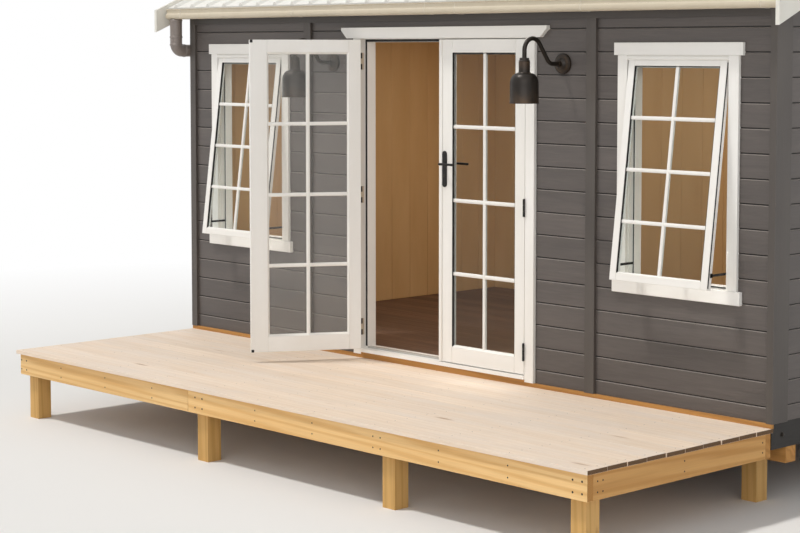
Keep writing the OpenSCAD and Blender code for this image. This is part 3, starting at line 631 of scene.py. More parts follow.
class Workpiece:
    """Gathers the faces of one piece, board by board, before they become a mesh."""

    def __init__(self, name: str, *coats: Finish) -> None:
        """Starts an empty piece.

        Args:
            name: The piece's name in the scene.
            coats: The finishes that its faces can take, the usual one first.
        """
        self.name = name
        self.coats = coats
        self.coat = 0
        self.board = sum(map(ord, name)) % 97
        self.points: list[Vector] = []
        self.faces: list[tuple[int, ...]] = []
        self.marks: list[tuple[int, int, bool]] = []

    def add(self, points: Iterable[Point], faces: Iterable[Sequence[int]], smooth: bool = False) -> None:
        """Adds a closed surface.

        Args:
            points: Its corners.
            faces: Their numbers, face by face.
            smooth: Whether it is shaded as a curved surface.
        """
        start = len(self.points)
        self.points += [Vector(p) for p in points]
        for face in faces:
            self.faces.append(tuple(start + k for k in face))
            self.marks.append((self.coat, self.board, smooth))

    def block(self, low: Point, high: Point, bevel: float = 0.0003, ends: Axis | None = None) -> None:
        """Adds a board with planed edges.

        Args:
            low: A corner of it.
            high: The corner opposite.
            bevel: Width of the planed edges.
            ends: The direction whose end faces take the second finish.
        """
        self.board += 1
        corners = list(product((0, 1), repeat=3))
        spans = [sorted(pair) for pair in zip(low, high)]
        points = [[spans[k][end] + (0 if k == full else bevel * (1 - 2 * end))
                   for k, end in enumerate(corner)] for corner in corners for full in range(3)]
        faces = [tuple(range(k, k + 3)) for k in range(0, 24, 3)]
        caps = []
        for axis in Axis:
            first, second = axis.others
            rings: list[list[int]] = [[], []]
            for end, (p, q) in product((0, 1), ((0, 0), (1, 0), (1, 1), (0, 1))):
                corner = [end, end, end]
                corner[first], corner[second] = p, q
                rings[end].append(3 * corners.index(tuple(corner)))
            if axis is ends:
                caps = [len(faces), len(faces) + 1]
            faces += [tuple(k + axis.value for k in ring) for ring in rings]
            faces += [(a + first, a + second, b + second, b + first) for a, b in zip(*rings)]
        self.add(points, faces)
        for k in caps:
            self.marks[k - len(faces)] = (1, self.board, False)

    def surround(self, low: Point, high: Point, widths: tuple[float, float, float, float], bevel: float,
                 coats: tuple[int, int] = (0, 0)) -> tuple[float, float, float, float]:
        """Adds two stiles and two rails between them, as a frame that faces along y.

        Args:
            low: The frame's lowest corner.
            high: Its highest corner.
            widths: The widths of the left stile, the right stile, the bottom rail and the top rail.
            bevel: Width of the planed edges.
            coats: The finishes of the stiles and of the rails.

        Returns:
            The left, right, bottom and top of what it frames.
        """
        (x0, y0, z0), (x1, y1, z1) = low, high
        left, right, bottom, top = x0 + widths[0], x1 - widths[1], z0 + widths[2], z1 - widths[3]
        for coat, boards in zip(coats, (((x0, z0, left, z1), (right, z0, x1, z1)),
                                        ((left, z0, right, bottom), (left, top, right, z1)))):
            self.coat = coat
            for a, b, c, d in boards:
                self.block((a, y0, b), (c, y1, d), bevel)
        self.coat = 0
        return left, right, bottom, top

    def bar(self, outline: Outline, run: Axis, low: Reach, high: Reach, smooth: bool = False) -> None:
        """Adds a bar of one section, whose ends may be cut at a slant.

        Args:
            outline: The section, in the two directions across the bar.
            run: The bar's direction.
            low: Where it starts, or a function of the section's two values that says so.
            high: Where it ends, in the same way.
            smooth: Whether its long faces are shaded as curved.
        """
        self.board += 1
        first, second = run.others
        points = []
        for reach, (a, b) in product((low, high), outline):
            place = [0.0, 0.0, 0.0]
            place[first], place[second] = a, b
            place[run.value] = reach(a, b) if callable(reach) else reach
            points.append(place)
        n = len(outline)
        faces = [tuple(range(n)), tuple(range(n, 2 * n))]
        faces += [(i, (i + 1) % n, n + (i + 1) % n, n + i) for i in range(n)]
        self.add(points, faces, smooth)

    def strip(self, line: Outline, thickness: float, run: Axis, low: float, high: float) -> None:
        """Adds folded sheet metal, its thickness to the left of a line in its section."""
        self.bar([*line, *reversed(offset(line, thickness))], run, low, high, smooth=True)

    def skin(self, rows: Sequence[Sequence[Point]], closed: bool = False) -> None:
        """Joins rings of points into a rounded surface.

        Args:
            rows: The rings, or single points where the surface runs out.
            closed: Whether the last ring joins the first. Otherwise the ends are capped.
        """
        numbers: list[range] = []
        for row in rows:
            start = numbers[-1].stop if numbers else 0
            numbers.append(range(start, start + len(row)))
        faces = [] if closed else [tuple(numbers[0]), tuple(numbers[-1])]
        for lower, upper in zip(numbers if closed else numbers[:-1], numbers[1:] + numbers[:1]):
            for k in range(max(len(lower), len(upper))):
                ring = (lower[k % len(lower)], lower[(k + 1) % len(lower)],
                        upper[(k + 1) % len(upper)], upper[k % len(upper)])
                faces.append(tuple(dict.fromkeys(ring)))
        self.add([point for row in rows for point in row], [face for face in faces if len(face) > 2], smooth=True)

    def lathe(self, profile: Outline, place: Matrix, sides: int = 48, closed: bool = False) -> None:
        """Adds a turned shape.

        Args:
            profile: Radii and heights, from one end to the other.
            place: Where its axis and foot go. The axis is that matrix's z.
            sides: How many flats make up its round.
            closed: Whether the profile closes on itself.
        """
        turns = [math.tau * k / sides for k in range(sides)]
        self.skin([[place @ Vector((radius * math.cos(a), radius * math.sin(a), height))
                    for a in (turns if radius > 0 else turns[:1])] for radius, height in profile], closed)

    def tube(self, path: Sequence[Point], radius: float, sides: int = 24, bore: float = 0.0) -> None:
        """Adds a round bar or a pipe along a path.

        Args:
            path: The points that its middle follows.
            radius: Its outer radius.
            sides: How many flats make up its round.
            bore: Its inner radius, or nought for a solid bar.
        """
        line = [Vector(p) for p in path]
        steps = [(b - a).normalized() for a, b in zip(line, line[1:])]
        heads = [steps[0], *[(a + b).normalized() for a, b in zip(steps, steps[1:])], steps[-1]]
        across = heads[0].orthogonal().normalized()
        outer, inner = [], []
        for spot, head in zip(line, heads):
            across = (across - head * across.dot(head)).normalized()
            up = head.cross(across)
            ring = [across * math.cos(a) + up * math.sin(a) for a in (math.tau * k / sides for k in range(sides))]
            outer.append([spot + way * radius for way in ring])
            inner.append([spot + way * bore for way in ring])
        self.skin(outer + inner[::-1] if bore else outer, closed=bore > 0)

    def screw(self, place: Matrix, radius: float = 0.004, height: float = 0.0012) -> None:
        """Adds a small domed screw head with its foot at a place."""
        self.lathe([(radius, 0.0), (radius * 0.92, height * 0.6), (radius * 0.45, height), (0.0, height)], place, 10)

    def build(self, body: str, place: Matrix) -> Piece:
        """Turns the faces into an object that rides on a body.

        Args:
            body: The body that it moves with.
            place: From the piece's own terms to the frame.

        Returns:
            The new object.
        """
        mesh = bpy.data.meshes.new(self.name)
        mesh.from_pydata([place @ p for p in self.points], [], self.faces)
        for coat in self.coats:
            mesh.materials.append(coat.material())
        mesh.polygons.foreach_set("material_index", [mark[0] for mark in self.marks])
        mesh.polygons.foreach_set("use_smooth", [mark[2] for mark in self.marks])
        numbers = mesh.attributes.new("board", "FLOAT", "FACE")
        numbers.data.foreach_set("value", [float(mark[1]) for mark in self.marks])
        shell = bmesh.new()
        shell.from_mesh(mesh)
        bmesh.ops.recalc_face_normals(shell, faces=shell.faces)
        shell.to_mesh(mesh)
        shell.free()
        mesh.set_sharp_from_angle(angle=math.radians(38))
        piece = bpy.data.objects.new(self.name, mesh)
        bpy.context.scene.collection.objects.link(piece)
        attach(piece, body)
        return piece


def offset(line: Outline, distance: float) -> Outline:
    """Moves an open line sideways, to its left.

    Args:
        line: Its points.
        distance: How far to move it.

    Returns:
        The moved points.
    """
    steps = [Vector((b[0] - a[0], b[1] - a[1])).normalized() for a, b in zip(line, line[1:])]
    moved = []
    for k, (a, b) in enumerate(line):
        before, after = steps[max(k - 1, 0)], steps[min(k, len(steps) - 1)]
        left = (Vector((-before.y, before.x)) + Vector((-after.y, after.x))).normalized()
        stretch = distance / max(left.dot(Vector((-after.y, after.x))), 0.3)
        moved.append((a + left.x * stretch, b + left.y * stretch))
    return moved


def arc(centre: tuple[float, float], radius: float, start: float, end: float, steps: int) -> Outline:
    """Points along an arc from a first to a last angle in degrees, both ends included."""
    angles = [math.radians(start + (end - start) * k / steps) for k in range(steps + 1)]
    return [(centre[0] + radius * math.cos(a), centre[1] + radius * math.sin(a)) for a in angles]


def clip(outline: Outline, low: float, high: float) -> Outline:
    """Keeps the part of a convex section between two heights.

    Args:
        outline: The section, with height as its second value.
        low: The lower height.
        high: The upper height.

    Returns:
        What is left of it.
    """
    for level, sign in ((low, 1), (high, -1)):
        kept: Outline = []
        for (a, b), (c, d) in zip(outline, outline[1:] + outline[:1]):
            inside, next_inside = sign * (b - level) >= 0, sign * (d - level) >= 0
            if inside:
                kept.append((a, b))
            if inside != next_inside:
                kept.append((a + (c - a) * (level - b) / (d - b), level))
        outline = kept
    return outline


def facing(place: Point, outward: Point) -> Matrix:
    """A place whose z points outwards."""
    turn = Vector(outward).to_track_quat("Z", "Y").to_matrix().to_4x4()
    return Matrix.Translation(place) @ turn


@dataclass(frozen=True)
class Survey:
    """The pod's main planes, read from the frame and given in the pod's own terms."""

    origin: Matrix
    depth: float
    half: float
    wall: float
    lining: float
    wall_base: float
    frieze: float
    ceiling: float
    floor_top: float
    ground: float
    barge_out: float
    roof_front: float
    roof_low: float
    slope: float
    sheet: float
    pins: dict[Side, tuple[float, float]]

    @classmethod
    def take(cls) -> "Survey":
        """Reads the planes from the nodes' boxes and the joints.

        Returns:
            The survey.
        """
        low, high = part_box("corner_boards")
        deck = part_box("deck_boards")[1].z
        front_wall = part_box("front_wall_left")
        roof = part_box("roof_front")
        sheet = 0.030
        run = roof[1].y - roof[0].y
        joints = {joint["name"]: joint["pos_m"] for joint in frame["joints"]}
        return cls(
            origin=Matrix.Translation((0.0, low.y, deck)),
            depth=high.y - low.y,
            half=high.x,
            wall=front_wall[0].y - low.y,
            lining=front_wall[1].y - low.y,
            wall_base=front_wall[0].z - deck,
            frieze=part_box("frieze_boards")[0].z - deck,
            ceiling=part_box("ceiling")[0].z - deck,
            floor_top=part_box("floor")[1].z - deck,
            ground=-deck,
            barge_out=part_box("barge_boards")[1].x,
            roof_front=roof[0].y - low.y,
            roof_low=roof[0].z - deck,
            slope=(roof[1].z - roof[0].z - sheet) / run,
            sheet=sheet,
            pins={side: (joints[f"{side.word}_leaf_hinge"][0], joints[f"{side.word}_leaf_hinge"][1] - low.y)
                  for side in Side},
        )

    @property
    def middle(self) -> float:
        """Distance of the ridge from the front."""
        return self.depth / 2

    def under_sheet(self, y: float) -> float:
        """Height of the roof sheet's underside at a distance from the front."""
        return self.roof_low + (min(y, self.depth - y) - self.roof_front) * self.slope

    def plane(self, wall: Wall, inset: float) -> float:
        """The place of a wall's plane, so far inside the face of its trims."""
        if wall.run is Axis.Y:
            return wall.sign * (self.half - inset)
        return inset if wall is Wall.FRONT else self.depth - inset

    def place_at(self, wall: Wall) -> Matrix:
        """From the pod's own terms at the front, or from their mirror image at the back, to the frame."""
        mirror = Matrix.Translation((0.0, self.depth, 0.0)) @ Matrix.Scale(-1, 4, (0, 1, 0))
        return self.origin @ mirror if wall is Wall.BACK else self.origin


@dataclass
class Assembly:
    """A sub-assembly, drawn in the pod's own terms, and the pieces that it has built."""

    survey: Survey
    made: list[Piece] = field(default_factory=list, init=False)

    def fit(self, piece: Workpiece, body: str, place: Matrix) -> Piece:
        """Builds a piece that rides on a body, and notes it."""
        self.made.append(piece.build(body, place))
        return self.made[-1]

    def fix(self, piece: Workpiece) -> Piece:
        """Builds a piece that stays on the pod."""
        return self.fit(piece, "pod", self.survey.origin)

    def dress(self) -> None:
        """Builds the sub-assembly."""
        raise NotImplementedError


@dataclass(frozen=True)
class Patch:
    """A trapezoid on a wall that its boards stop at."""

    low: float
    high: float
    middle: float
    half: float
    splay: float = 0.0

    def left_at(self, z: float) -> float:
        """Its left edge at a height."""
        return self.middle - self.half - self.splay * (z - self.low)

    def right_at(self, z: float) -> float:
        """Its right edge at a height."""
        return self.middle + self.half + self.splay * (z - self.low)


@dataclass(frozen=True)
class Openings:
    """Doors, windows and trims as their outlines on the walls."""

    door_middle: float = 0.012
    door_half: float = 0.8145
    door_top: float = 2.184
    door_gap: float = 0.007
    head_low: float = 2.118
    head_edge: float = 2.170
    head_high: float = 2.188
    head_foot: float = 0.8675
    head_half: float = 0.9215
    window_middle: float = 1.905
    window_half: float = 0.358
    window_low: float = 0.722
    window_high: float = 2.012
    casing_half: float = 0.428
    cap_half: float = 0.455
    cap_high: float = 2.084
    sill_low: float = 0.646
    strip_middle: float = 1.274
    strip_half: float = 0.0365
    hole_past: float = 0.018

    def strips(self, survey: Survey) -> list[Patch]:
        """The cover strips of a long wall."""
        return [Patch(survey.wall_base, survey.frieze, side.value * self.strip_middle, self.strip_half)
                for side in Side]

    def front(self, survey: Survey) -> list[Patch]:
        """Lists what the front wall's boards stop at, outside.

        Args:
            survey: The pod's planes.

        Returns:
            The patches.
        """
        splay = (self.head_half - self.head_foot) / (self.head_edge - self.head_low)
        patches = [
            Patch(survey.wall_base, self.door_top, self.door_middle, self.door_half + self.door_gap),
            Patch(self.head_low, self.head_edge, self.door_middle, self.head_foot, splay),
            Patch(self.head_edge, self.head_high, self.door_middle, self.head_half),
        ]
        for side in Side:
            middle = side.value * self.window_middle
            patches += [
                Patch(self.window_low, self.window_high, middle, self.casing_half),
                Patch(self.window_high, self.cap_high, middle, self.cap_half),
                Patch(self.sill_low, self.window_low, middle, self.cap_half),
            ]
        return patches + self.strips(survey)

    def inside(self, survey: Survey) -> list[Patch]:
        """What the front wall's lining stops at."""
        past = self.hole_past
        return [Patch(survey.floor_top, self.door_top, self.door_middle, self.door_half),
                *[Patch(self.window_low - past, self.window_high + past, side.value * self.window_middle,
                        self.window_half + past) for side in Side]]


@dataclass(frozen=True)
class Stretch:
    """The part of a wall that its boards fill, whose edges may change with the height."""

    wall: Wall
    patches: list[Patch]
    high: float
    left: Edge
    right: Edge
    kinks: tuple[float, ...] = ()
    shortest: float = 0.012

    def free(self, z: float) -> list[tuple[Edge, Edge]]:
        """Finds the stretches that are free of patches at a height.

        Args:
            z: The height.

        Returns:
            Pairs of edges, as functions of the height.
        """
        starts: list[Edge] = [self.left]
        ends: list[Edge] = []
        for patch in sorted((p for p in self.patches if p.low < z < p.high), key=lambda p: p.left_at(z)):
            if patch.right_at(z) > starts[-1](z):
                ends.append(patch.left_at)
                starts.append(patch.right_at)
        return [(a, b) for a, b in zip(starts, [*ends, self.right]) if b(z) - a(z) > self.shortest]


@dataclass
class Cladding(Assembly):
    """The weatherboards on the four walls."""

    openings: Openings
    top_joint: float = 2.168
    pitch: float = 0.1372
    gap: float = 0.0066
    face: float = 0.006
    chamfer: float = 0.0040
    slope_in: float = 0.0052
    lip: float = 0.0012
    clearance: float = 0.0006
    left_start: float = 2.525
    right_start: float = 2.541
    corner: float = 0.140
    under_roof: float = 0.004
    under_ridge: float = 0.02

    def section(self, low: float, high: float) -> Outline:
        """Draws a board's section.

        Args:
            low: Its lower joint.
            high: Its upper joint.

        Returns:
            The section, as distances out of the wall and heights.
        """
        bottom, top = low + self.gap / 2, high - self.gap / 2
        return [(0.0, bottom), (self.face - self.lip, bottom), (self.face, bottom + self.lip),
                (self.face, top - self.chamfer), (self.face - self.slope_in, top), (0.0, top)]

    def rows(self, low: float, high: float) -> list[tuple[float, float]]:
        """Lists the boards between two heights, from the top.

        Args:
            low: The lower height.
            high: The upper height.

        Returns:
            Each board's lower and upper joint.
        """
        joint = self.top_joint + self.pitch * math.ceil((high - self.top_joint) / self.pitch)
        rows = []
        while joint > low:
            rows.append((joint - self.pitch, joint))
            joint -= self.pitch
        return rows

    def cover(self, piece: Workpiece, stretch: Stretch) -> None:
        """Lays boards on a wall, round what stands on it.

        Args:
            piece: Takes the boards.
            stretch: What they fill.
        """
        low = self.survey.wall_base
        turns = [*stretch.kinks, *(z for p in stretch.patches for z in (p.low, p.high))]
        for row_low, row_high in self.rows(low, stretch.high):
            number = piece.board + 1
            bottom, top = max(row_low, low), min(row_high, stretch.high)
            levels = sorted({bottom, top, *[z for z in turns if bottom < z < top]})
            for band_low, band_high in zip(levels, levels[1:]):
                outline = clip(self.section(row_low, row_high), band_low, band_high)
                if len(outline) > 2:
                    for start, end in stretch.free((band_low + band_high) / 2):
                        piece.board = number - 1
                        self.lay(piece, stretch.wall, outline, start, end)
            piece.board = number

    def lay(self, piece: Workpiece, wall: Wall, outline: Outline, start: Edge, end: Edge) -> None:
        """Adds one board, or the part of it in one band.

        Args:
            piece: Takes it.
            wall: Its wall.
            outline: Its section.
            start: Where it starts at a height.
            end: Where it ends at a height.
        """
        base = self.survey.plane(wall, self.survey.wall)
        turned = [(base + wall.sign * out, z) for out, z in outline]
        piece.bar(turned, wall.run, lambda _, z: start(z) + self.clearance, lambda _, z: end(z) - self.clearance)

    def gable_edge(self, z: float) -> float:
        """Where a gable's boards start at a height: at the corner board or under the roof."""
        under_roof = self.survey.roof_front + (z - self.survey.roof_low) / self.survey.slope
        return max(self.corner, under_roof + self.under_roof)

    def stretches(self) -> list[Stretch]:
        """Lists what the boards of the four walls fill.

        Returns:
            The stretches, the long walls' first.
        """
        survey = self.survey
        ridge = survey.under_sheet(survey.middle)
        strip = Patch(survey.wall_base, ridge, survey.middle, self.openings.strip_half)
        kinks = (survey.under_sheet(self.corner - self.under_roof),)
        return [
            Stretch(Wall.FRONT, self.openings.front(survey), survey.frieze, lambda z: -self.left_start,
                    lambda z: self.right_start),
            Stretch(Wall.BACK, self.openings.strips(survey), survey.frieze, lambda z: -self.right_start,
                    lambda z: self.right_start),
            *[Stretch(wall, [strip], ridge - self.under_ridge, self.gable_edge,
                      lambda z: survey.depth - self.gable_edge(z), kinks) for wall in (Wall.LEFT, Wall.RIGHT)],
        ]

    def dress(self) -> None:
        """Builds the boards of every wall."""
        for stretch in self.stretches():
            coat = Palette.WALL if stretch.wall.run is Axis.X else Palette.END_BOARDS
            piece = Workpiece(f"{stretch.wall.value}_weatherboards", coat)
            self.cover(piece, stretch)
            self.fix(piece)


@dataclass
class Interior(Assembly):
    """The room's lining, floor and ceiling boards."""

    openings: Openings
    lining_width: float = 0.2
    lining_proud: float = 0.005
    lining_groove: float = 0.0032
    floor_width: float = 0.13
    floor_gap: float = 0.0015
    floor_edge: float = 0.0012
    floor_stagger: float = 0.55
    ceiling_width: float = 0.11
    ceiling_thickness: float = 0.004
    ceiling_groove: float = 0.0018
    least: float = 0.004

    def columns(self, low: float, high: float, patches: list[Patch]) -> list[tuple[float, float]]:
        """Splits a wall's length into lining boards.

        Args:
            low: Where the wall starts.
            high: Where it ends.
            patches: Openings whose sides are joints too.

        Returns:
            The start and end of each board.
        """
        count = round((high - low) / self.lining_width)
        joints = {low + (high - low) * k / count for k in range(count + 1)}
        joints |= {p.middle + sign * p.half for p in patches for sign in (-1, 1)}
        ordered = sorted(joints)
        return [(a, b) for a, b in zip(ordered, ordered[1:]) if b - a > self.least]

    def courses(self, width: float) -> list[tuple[float, float]]:
        """Splits the room's depth into boards.

        Args:
            width: About how wide they are.

        Returns:
            The start and end of each board.
        """
        start = self.survey.lining
        room = self.survey.depth - 2 * start
        count = round(room / width)
        return [(start + k * room / count, start + (k + 1) * room / count) for k in range(count)]

    def line(self, piece: Workpiece, wall: Wall, patches: list[Patch]) -> None:
        """Lines one wall with upright boards.

        Args:
            piece: Takes the boards.
            wall: The wall.
            patches: Openings in it.
        """
        low_wall, high_wall = (Wall.LEFT, Wall.RIGHT) if wall.run is Axis.X else (Wall.FRONT, Wall.BACK)
        inset = self.survey.lining + (0 if wall.run is Axis.X else self.lining_proud)
        low, high = self.survey.plane(low_wall, inset), self.survey.plane(high_wall, inset)
        base = self.survey.plane(wall, self.survey.lining)
        far = base - wall.sign * self.lining_proud
        for a, b in self.columns(low, high, patches):
            cuts = sorted((p.low, p.high) for p in patches if abs((a + b) / 2 - p.middle) < p.half)
            levels = [self.survey.floor_top, *[z for cut in cuts for z in cut], self.survey.ceiling]
            for z0, z1 in zip(levels[::2], levels[1::2]):
                if z1 - z0 < self.least:
                    continue
                if wall.run is Axis.X:
                    piece.block((a, base, z0), (b, far, z1), self.lining_groove)
                else:
                    piece.block((base, a, z0), (far, b, z1), self.lining_groove)

    def dress(self) -> None:
        """Builds the lining, the floor and the ceiling."""
        survey = self.survey
        inner_x = survey.half - survey.lining
        lining = Workpiece("wall_lining", Palette.LINING)
        for wall in Wall:
            self.line(lining, wall, self.openings.inside(survey) if wall is Wall.FRONT else [])
        floor = Workpiece("floor_planks", Palette.FLOOR)
        for k, (start, end) in enumerate(self.courses(self.floor_width)):
            joint = inner_x * self.floor_stagger * (k * 7 % 5 / 2 - 1)
            for x0, x1 in ((-inner_x, joint), (joint, inner_x)):
                floor.block((x0, start, survey.wall_base), (x1 - self.floor_gap, end - self.floor_gap,
                                                            survey.floor_top), self.floor_edge)
        ceiling = Workpiece("ceiling_boards", Palette.CEILING)
        for start, end in self.courses(self.ceiling_width):
            ceiling.block((-inner_x, start, survey.ceiling - self.ceiling_thickness),
                          (inner_x, end, survey.ceiling), self.ceiling_groove)
        planks = self.fix(floor)
        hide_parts("floor")
        self.fix(lining)
        self.fix(ceiling)


@dataclass
class Glazing:
    """A rectangle of small panes, with bars on both sides of the glass and seals and beads round it."""

    left: float
    right: float
    bottom: float
    top: float
    thickness: float
    bar: float
    front: float = 0.0
    glass: float = 0.006
    columns: int = 2
    rows: int = 4
    bead: float = 0.011
    seal: float = 0.0025
    upright_proud: float = 0.52
    cross_proud: float = 0.47

    def lay(self, piece: Workpiece, run: Axis, section: Outline, edge: float | None = None) -> None:
        """Adds a bar over the light's whole width or height.

        Args:
            piece: Takes it.
            run: Its direction.
            section: Its section, as places across the light and depths.
            edge: The edge of the light that it lies on, where its ends are mitred.
        """
        upright = run is Axis.Z
        low, high = (self.bottom, self.top) if upright else (self.left, self.right)

        def mitre(*place: float) -> float:
            """How far an end is cut back."""
            return 0.0 if edge is None else abs(place[0 if upright else 1] - edge)

        outline = [(across, depth) if upright else (depth, across) for across, depth in section]
        piece.bar(outline, run, lambda *place: low + mitre(*place), lambda *place: high - mitre(*place))

    def add(self, timber: Workpiece, rubber: Workpiece) -> None:
        """Adds the bars and beads to the timber and the seals to the rubber.

        Args:
            timber: Takes what is painted.
            rubber: Takes the seals.
        """
        spans = ((Axis.Z, self.left, self.right, self.columns, self.upright_proud),
                 (Axis.X, self.bottom, self.top, self.rows, self.cross_proud))
        for sign, (run, low, high, count, proud) in product((-1, 1), spans):
            plane = self.front + self.thickness / 2 + sign * self.glass / 2
            depth = sign * (self.thickness - self.glass) / 2
            for k in range(1, count):
                middle = low + (high - low) * k / count
                half = [(self.bar * 0.5, 0.0), (self.bar * 0.5, 0.28), (self.bar * 0.3, proud)]
                section = [(middle + a, plane + d * depth) for a, d in half]
                section += [(middle - a, plane + d * depth) for a, d in reversed(half)]
                self.lay(timber, run, section)
            for edge, inward in ((low, 1), (high, -1)):
                if sign < 0 and (run is Axis.Z or inward < 0):
                    far, face = edge + inward * self.seal, plane + 0.9 * depth
                    self.lay(rubber, run, [(edge, plane), (far, plane), (far, face), (edge, face)], edge)
                else:
                    far = edge + inward * self.bead
                    section = [(edge, plane), (far, plane), (far, plane + 0.3 * depth), (edge, plane + 0.8 * depth)]
                    self.lay(timber, run, section, edge)


@dataclass
class DoorLeaf(Assembly):
    """One glazed door leaf with its hinges and fittings, drawn closed about its own pin."""

    side: Side
    open_angle: float
    edge: float = 0.0025
    width: float = 0.734
    front: float = 0.008
    thickness: float = 0.040
    low: float = 0.068
    high: float = 2.108
    hinge_stile: float = 0.080
    meeting_stile: float = 0.112
    top_rail: float = 0.083
    bottom_rail: float = 0.102
    rounding: float = 0.0016
    bar: float = 0.0235
    strip: float = 0.027
    strip_out: float = 0.008
    strip_rounding: float = 0.0028
    hinge_heights: tuple[float, ...] = (0.208, 1.088, 1.968)
    hinge_radius: float = 0.007
    hinge_length: float = 0.110
    hinge_clearance: float = 0.0005
    flap: float = 0.0018
    flap_back: float = 0.030
    bolt: float = 0.018
    bolt_out: float = 0.003
    spindle_in: float = 0.048
    spindle_height: float = 1.325
    plate: float = 0.008
    plate_half: float = 0.018
    plate_below: float = 0.146
    plate_above: float = 0.082
    plate_chamfer: float = 0.0015
    plate_screw_in: float = 0.016
    keyhole_below: float = 0.075

    @property
    def far(self) -> float:
        """The edge at the meeting stile."""
        return self.edge + self.width

    @property
    def back(self) -> float:
        """The face towards the room."""
        return self.front + self.thickness

    @property
    def place(self) -> Matrix:
        """Finds the way from the closed leaf's own terms to the frame.

        Returns:
            The matrix.
        """
        x, y = self.survey.pins[self.side]
        turn = Matrix.Rotation(-math.radians(self.open_angle), 4, "Z")
        mirror = Matrix.Scale(-1, 4, (1, 0, 0)) if self.side is Side.RIGHT else Matrix.Identity(4)
        return self.survey.origin @ Matrix.Translation((x, y, 0.0)) @ turn @ mirror

    @property
    def body(self) -> str:
        """The body that the leaf rides on."""
        return f"{self.side.word}_leaf"

    def joinery(self) -> None:
        """Builds the stiles, rails, bars and seals."""
        timber = Workpiece(f"{self.body}_joinery", Palette.WHITE_UPRIGHT, Palette.WHITE)
        rubber = Workpiece(f"{self.body}_seals", Palette.RUBBER)
        light = timber.surround((self.edge, self.front, self.low), (self.far, self.back, self.high),
                                (self.hinge_stile, self.meeting_stile, self.bottom_rail, self.top_rail),
                                self.rounding, (0, 1))
        if self.side is Side.RIGHT:
            timber.block((self.far - self.strip, self.front - self.strip_out, self.low),
                         (self.far, self.front, self.high), self.strip_rounding)
        Glazing(*light, self.thickness, self.bar, front=self.front).add(timber, rubber)
        joinery = self.fit(timber, self.body, self.place)
        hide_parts(self.body)
        self.fit(rubber, self.body, self.place)

    def hinge(self, metal: Workpiece, z: float) -> None:
        """Adds one hinge's middle knuckle and its flap on the leaf's edge.

        Args:
            metal: Takes them.
            z: The hinge's middle height.
        """
        knuckle = self.hinge_length / 6 - self.hinge_clearance
        metal.lathe([(0.0, -knuckle), (self.hinge_radius * 0.9, -knuckle), (self.hinge_radius, 0.001 - knuckle),
                     (self.hinge_radius, knuckle - 0.001), (self.hinge_radius * 0.9, knuckle), (0.0, knuckle)],
                    Matrix.Translation((0, 0, z)), 24)
        metal.block((self.edge - self.flap, 0.0, z - knuckle), (self.edge, self.front + 0.001, z + knuckle))
        metal.coat = 2
        metal.block((self.edge - self.flap, self.front + 0.0005, z - self.hinge_length / 2),
                    (self.edge, self.front + self.flap_back, z + self.hinge_length / 2), 0.0004)
        metal.coat = 0

    def fittings(self) -> None:
        """Builds the hinges with the bolts or the handle plates."""
        metal = Workpiece(f"{self.body}_fittings", Palette.BLACK, Palette.SCREW, Palette.FLAP)
        for z in self.hinge_heights:
            self.hinge(metal, z)
        if self.side is Side.LEFT:
            for z in (self.low, self.high - self.bolt):
                metal.block((self.far - self.bolt, self.back, z),
                            (self.far, self.back + self.bolt_out, z + self.bolt), 0.0008)
        else:
            self.handle_plates(metal)
        piece = self.fit(metal, self.body, self.place)
        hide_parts(f"{self.body}_hardware")

    def handle_plates(self, metal: Workpiece) -> None:
        """Adds the long plates with round ends, each with its screws and keyhole.

        Args:
            metal: Takes the plates.
        """
        x, z, half = self.far - self.spindle_in, self.spindle_height, self.plate_half
        low, high = z - self.plate_below, z + self.plate_above
        outline = [*arc((x, high - half), half, 0, 180, 12), *arc((x, low + half), half, 180, 360, 12)]
        slim = [(x + (a - x) * 0.9, z + (b - z) * 0.985) for a, b in outline]
        for inner, sign in ((self.front, -1), (self.back, 1)):
            outer = inner + sign * self.plate
            step = inner + sign * (self.plate - self.plate_chamfer)
            metal.bar(outline, Axis.Y, min(inner, step), max(inner, step))
            metal.bar(slim, Axis.Y, min(step, outer), max(step, outer))
            metal.coat = 1
            for height in (high - self.plate_screw_in, low + self.plate_screw_in):
                metal.screw(facing((x, outer, height), (0, sign, 0)), 0.0038, 0.0009)
            metal.lathe([(0.0, 0.0), (0.0085, 0.0), (0.0085, 0.0011), (0.007, 0.0016), (0.0, 0.0016)],
                        facing((x, outer, z - self.keyhole_below), (0, sign, 0)), 20)
            metal.coat = 0

    def dress(self) -> None:
        """Builds the leaf with its fittings."""
        self.joinery()
        self.fittings()


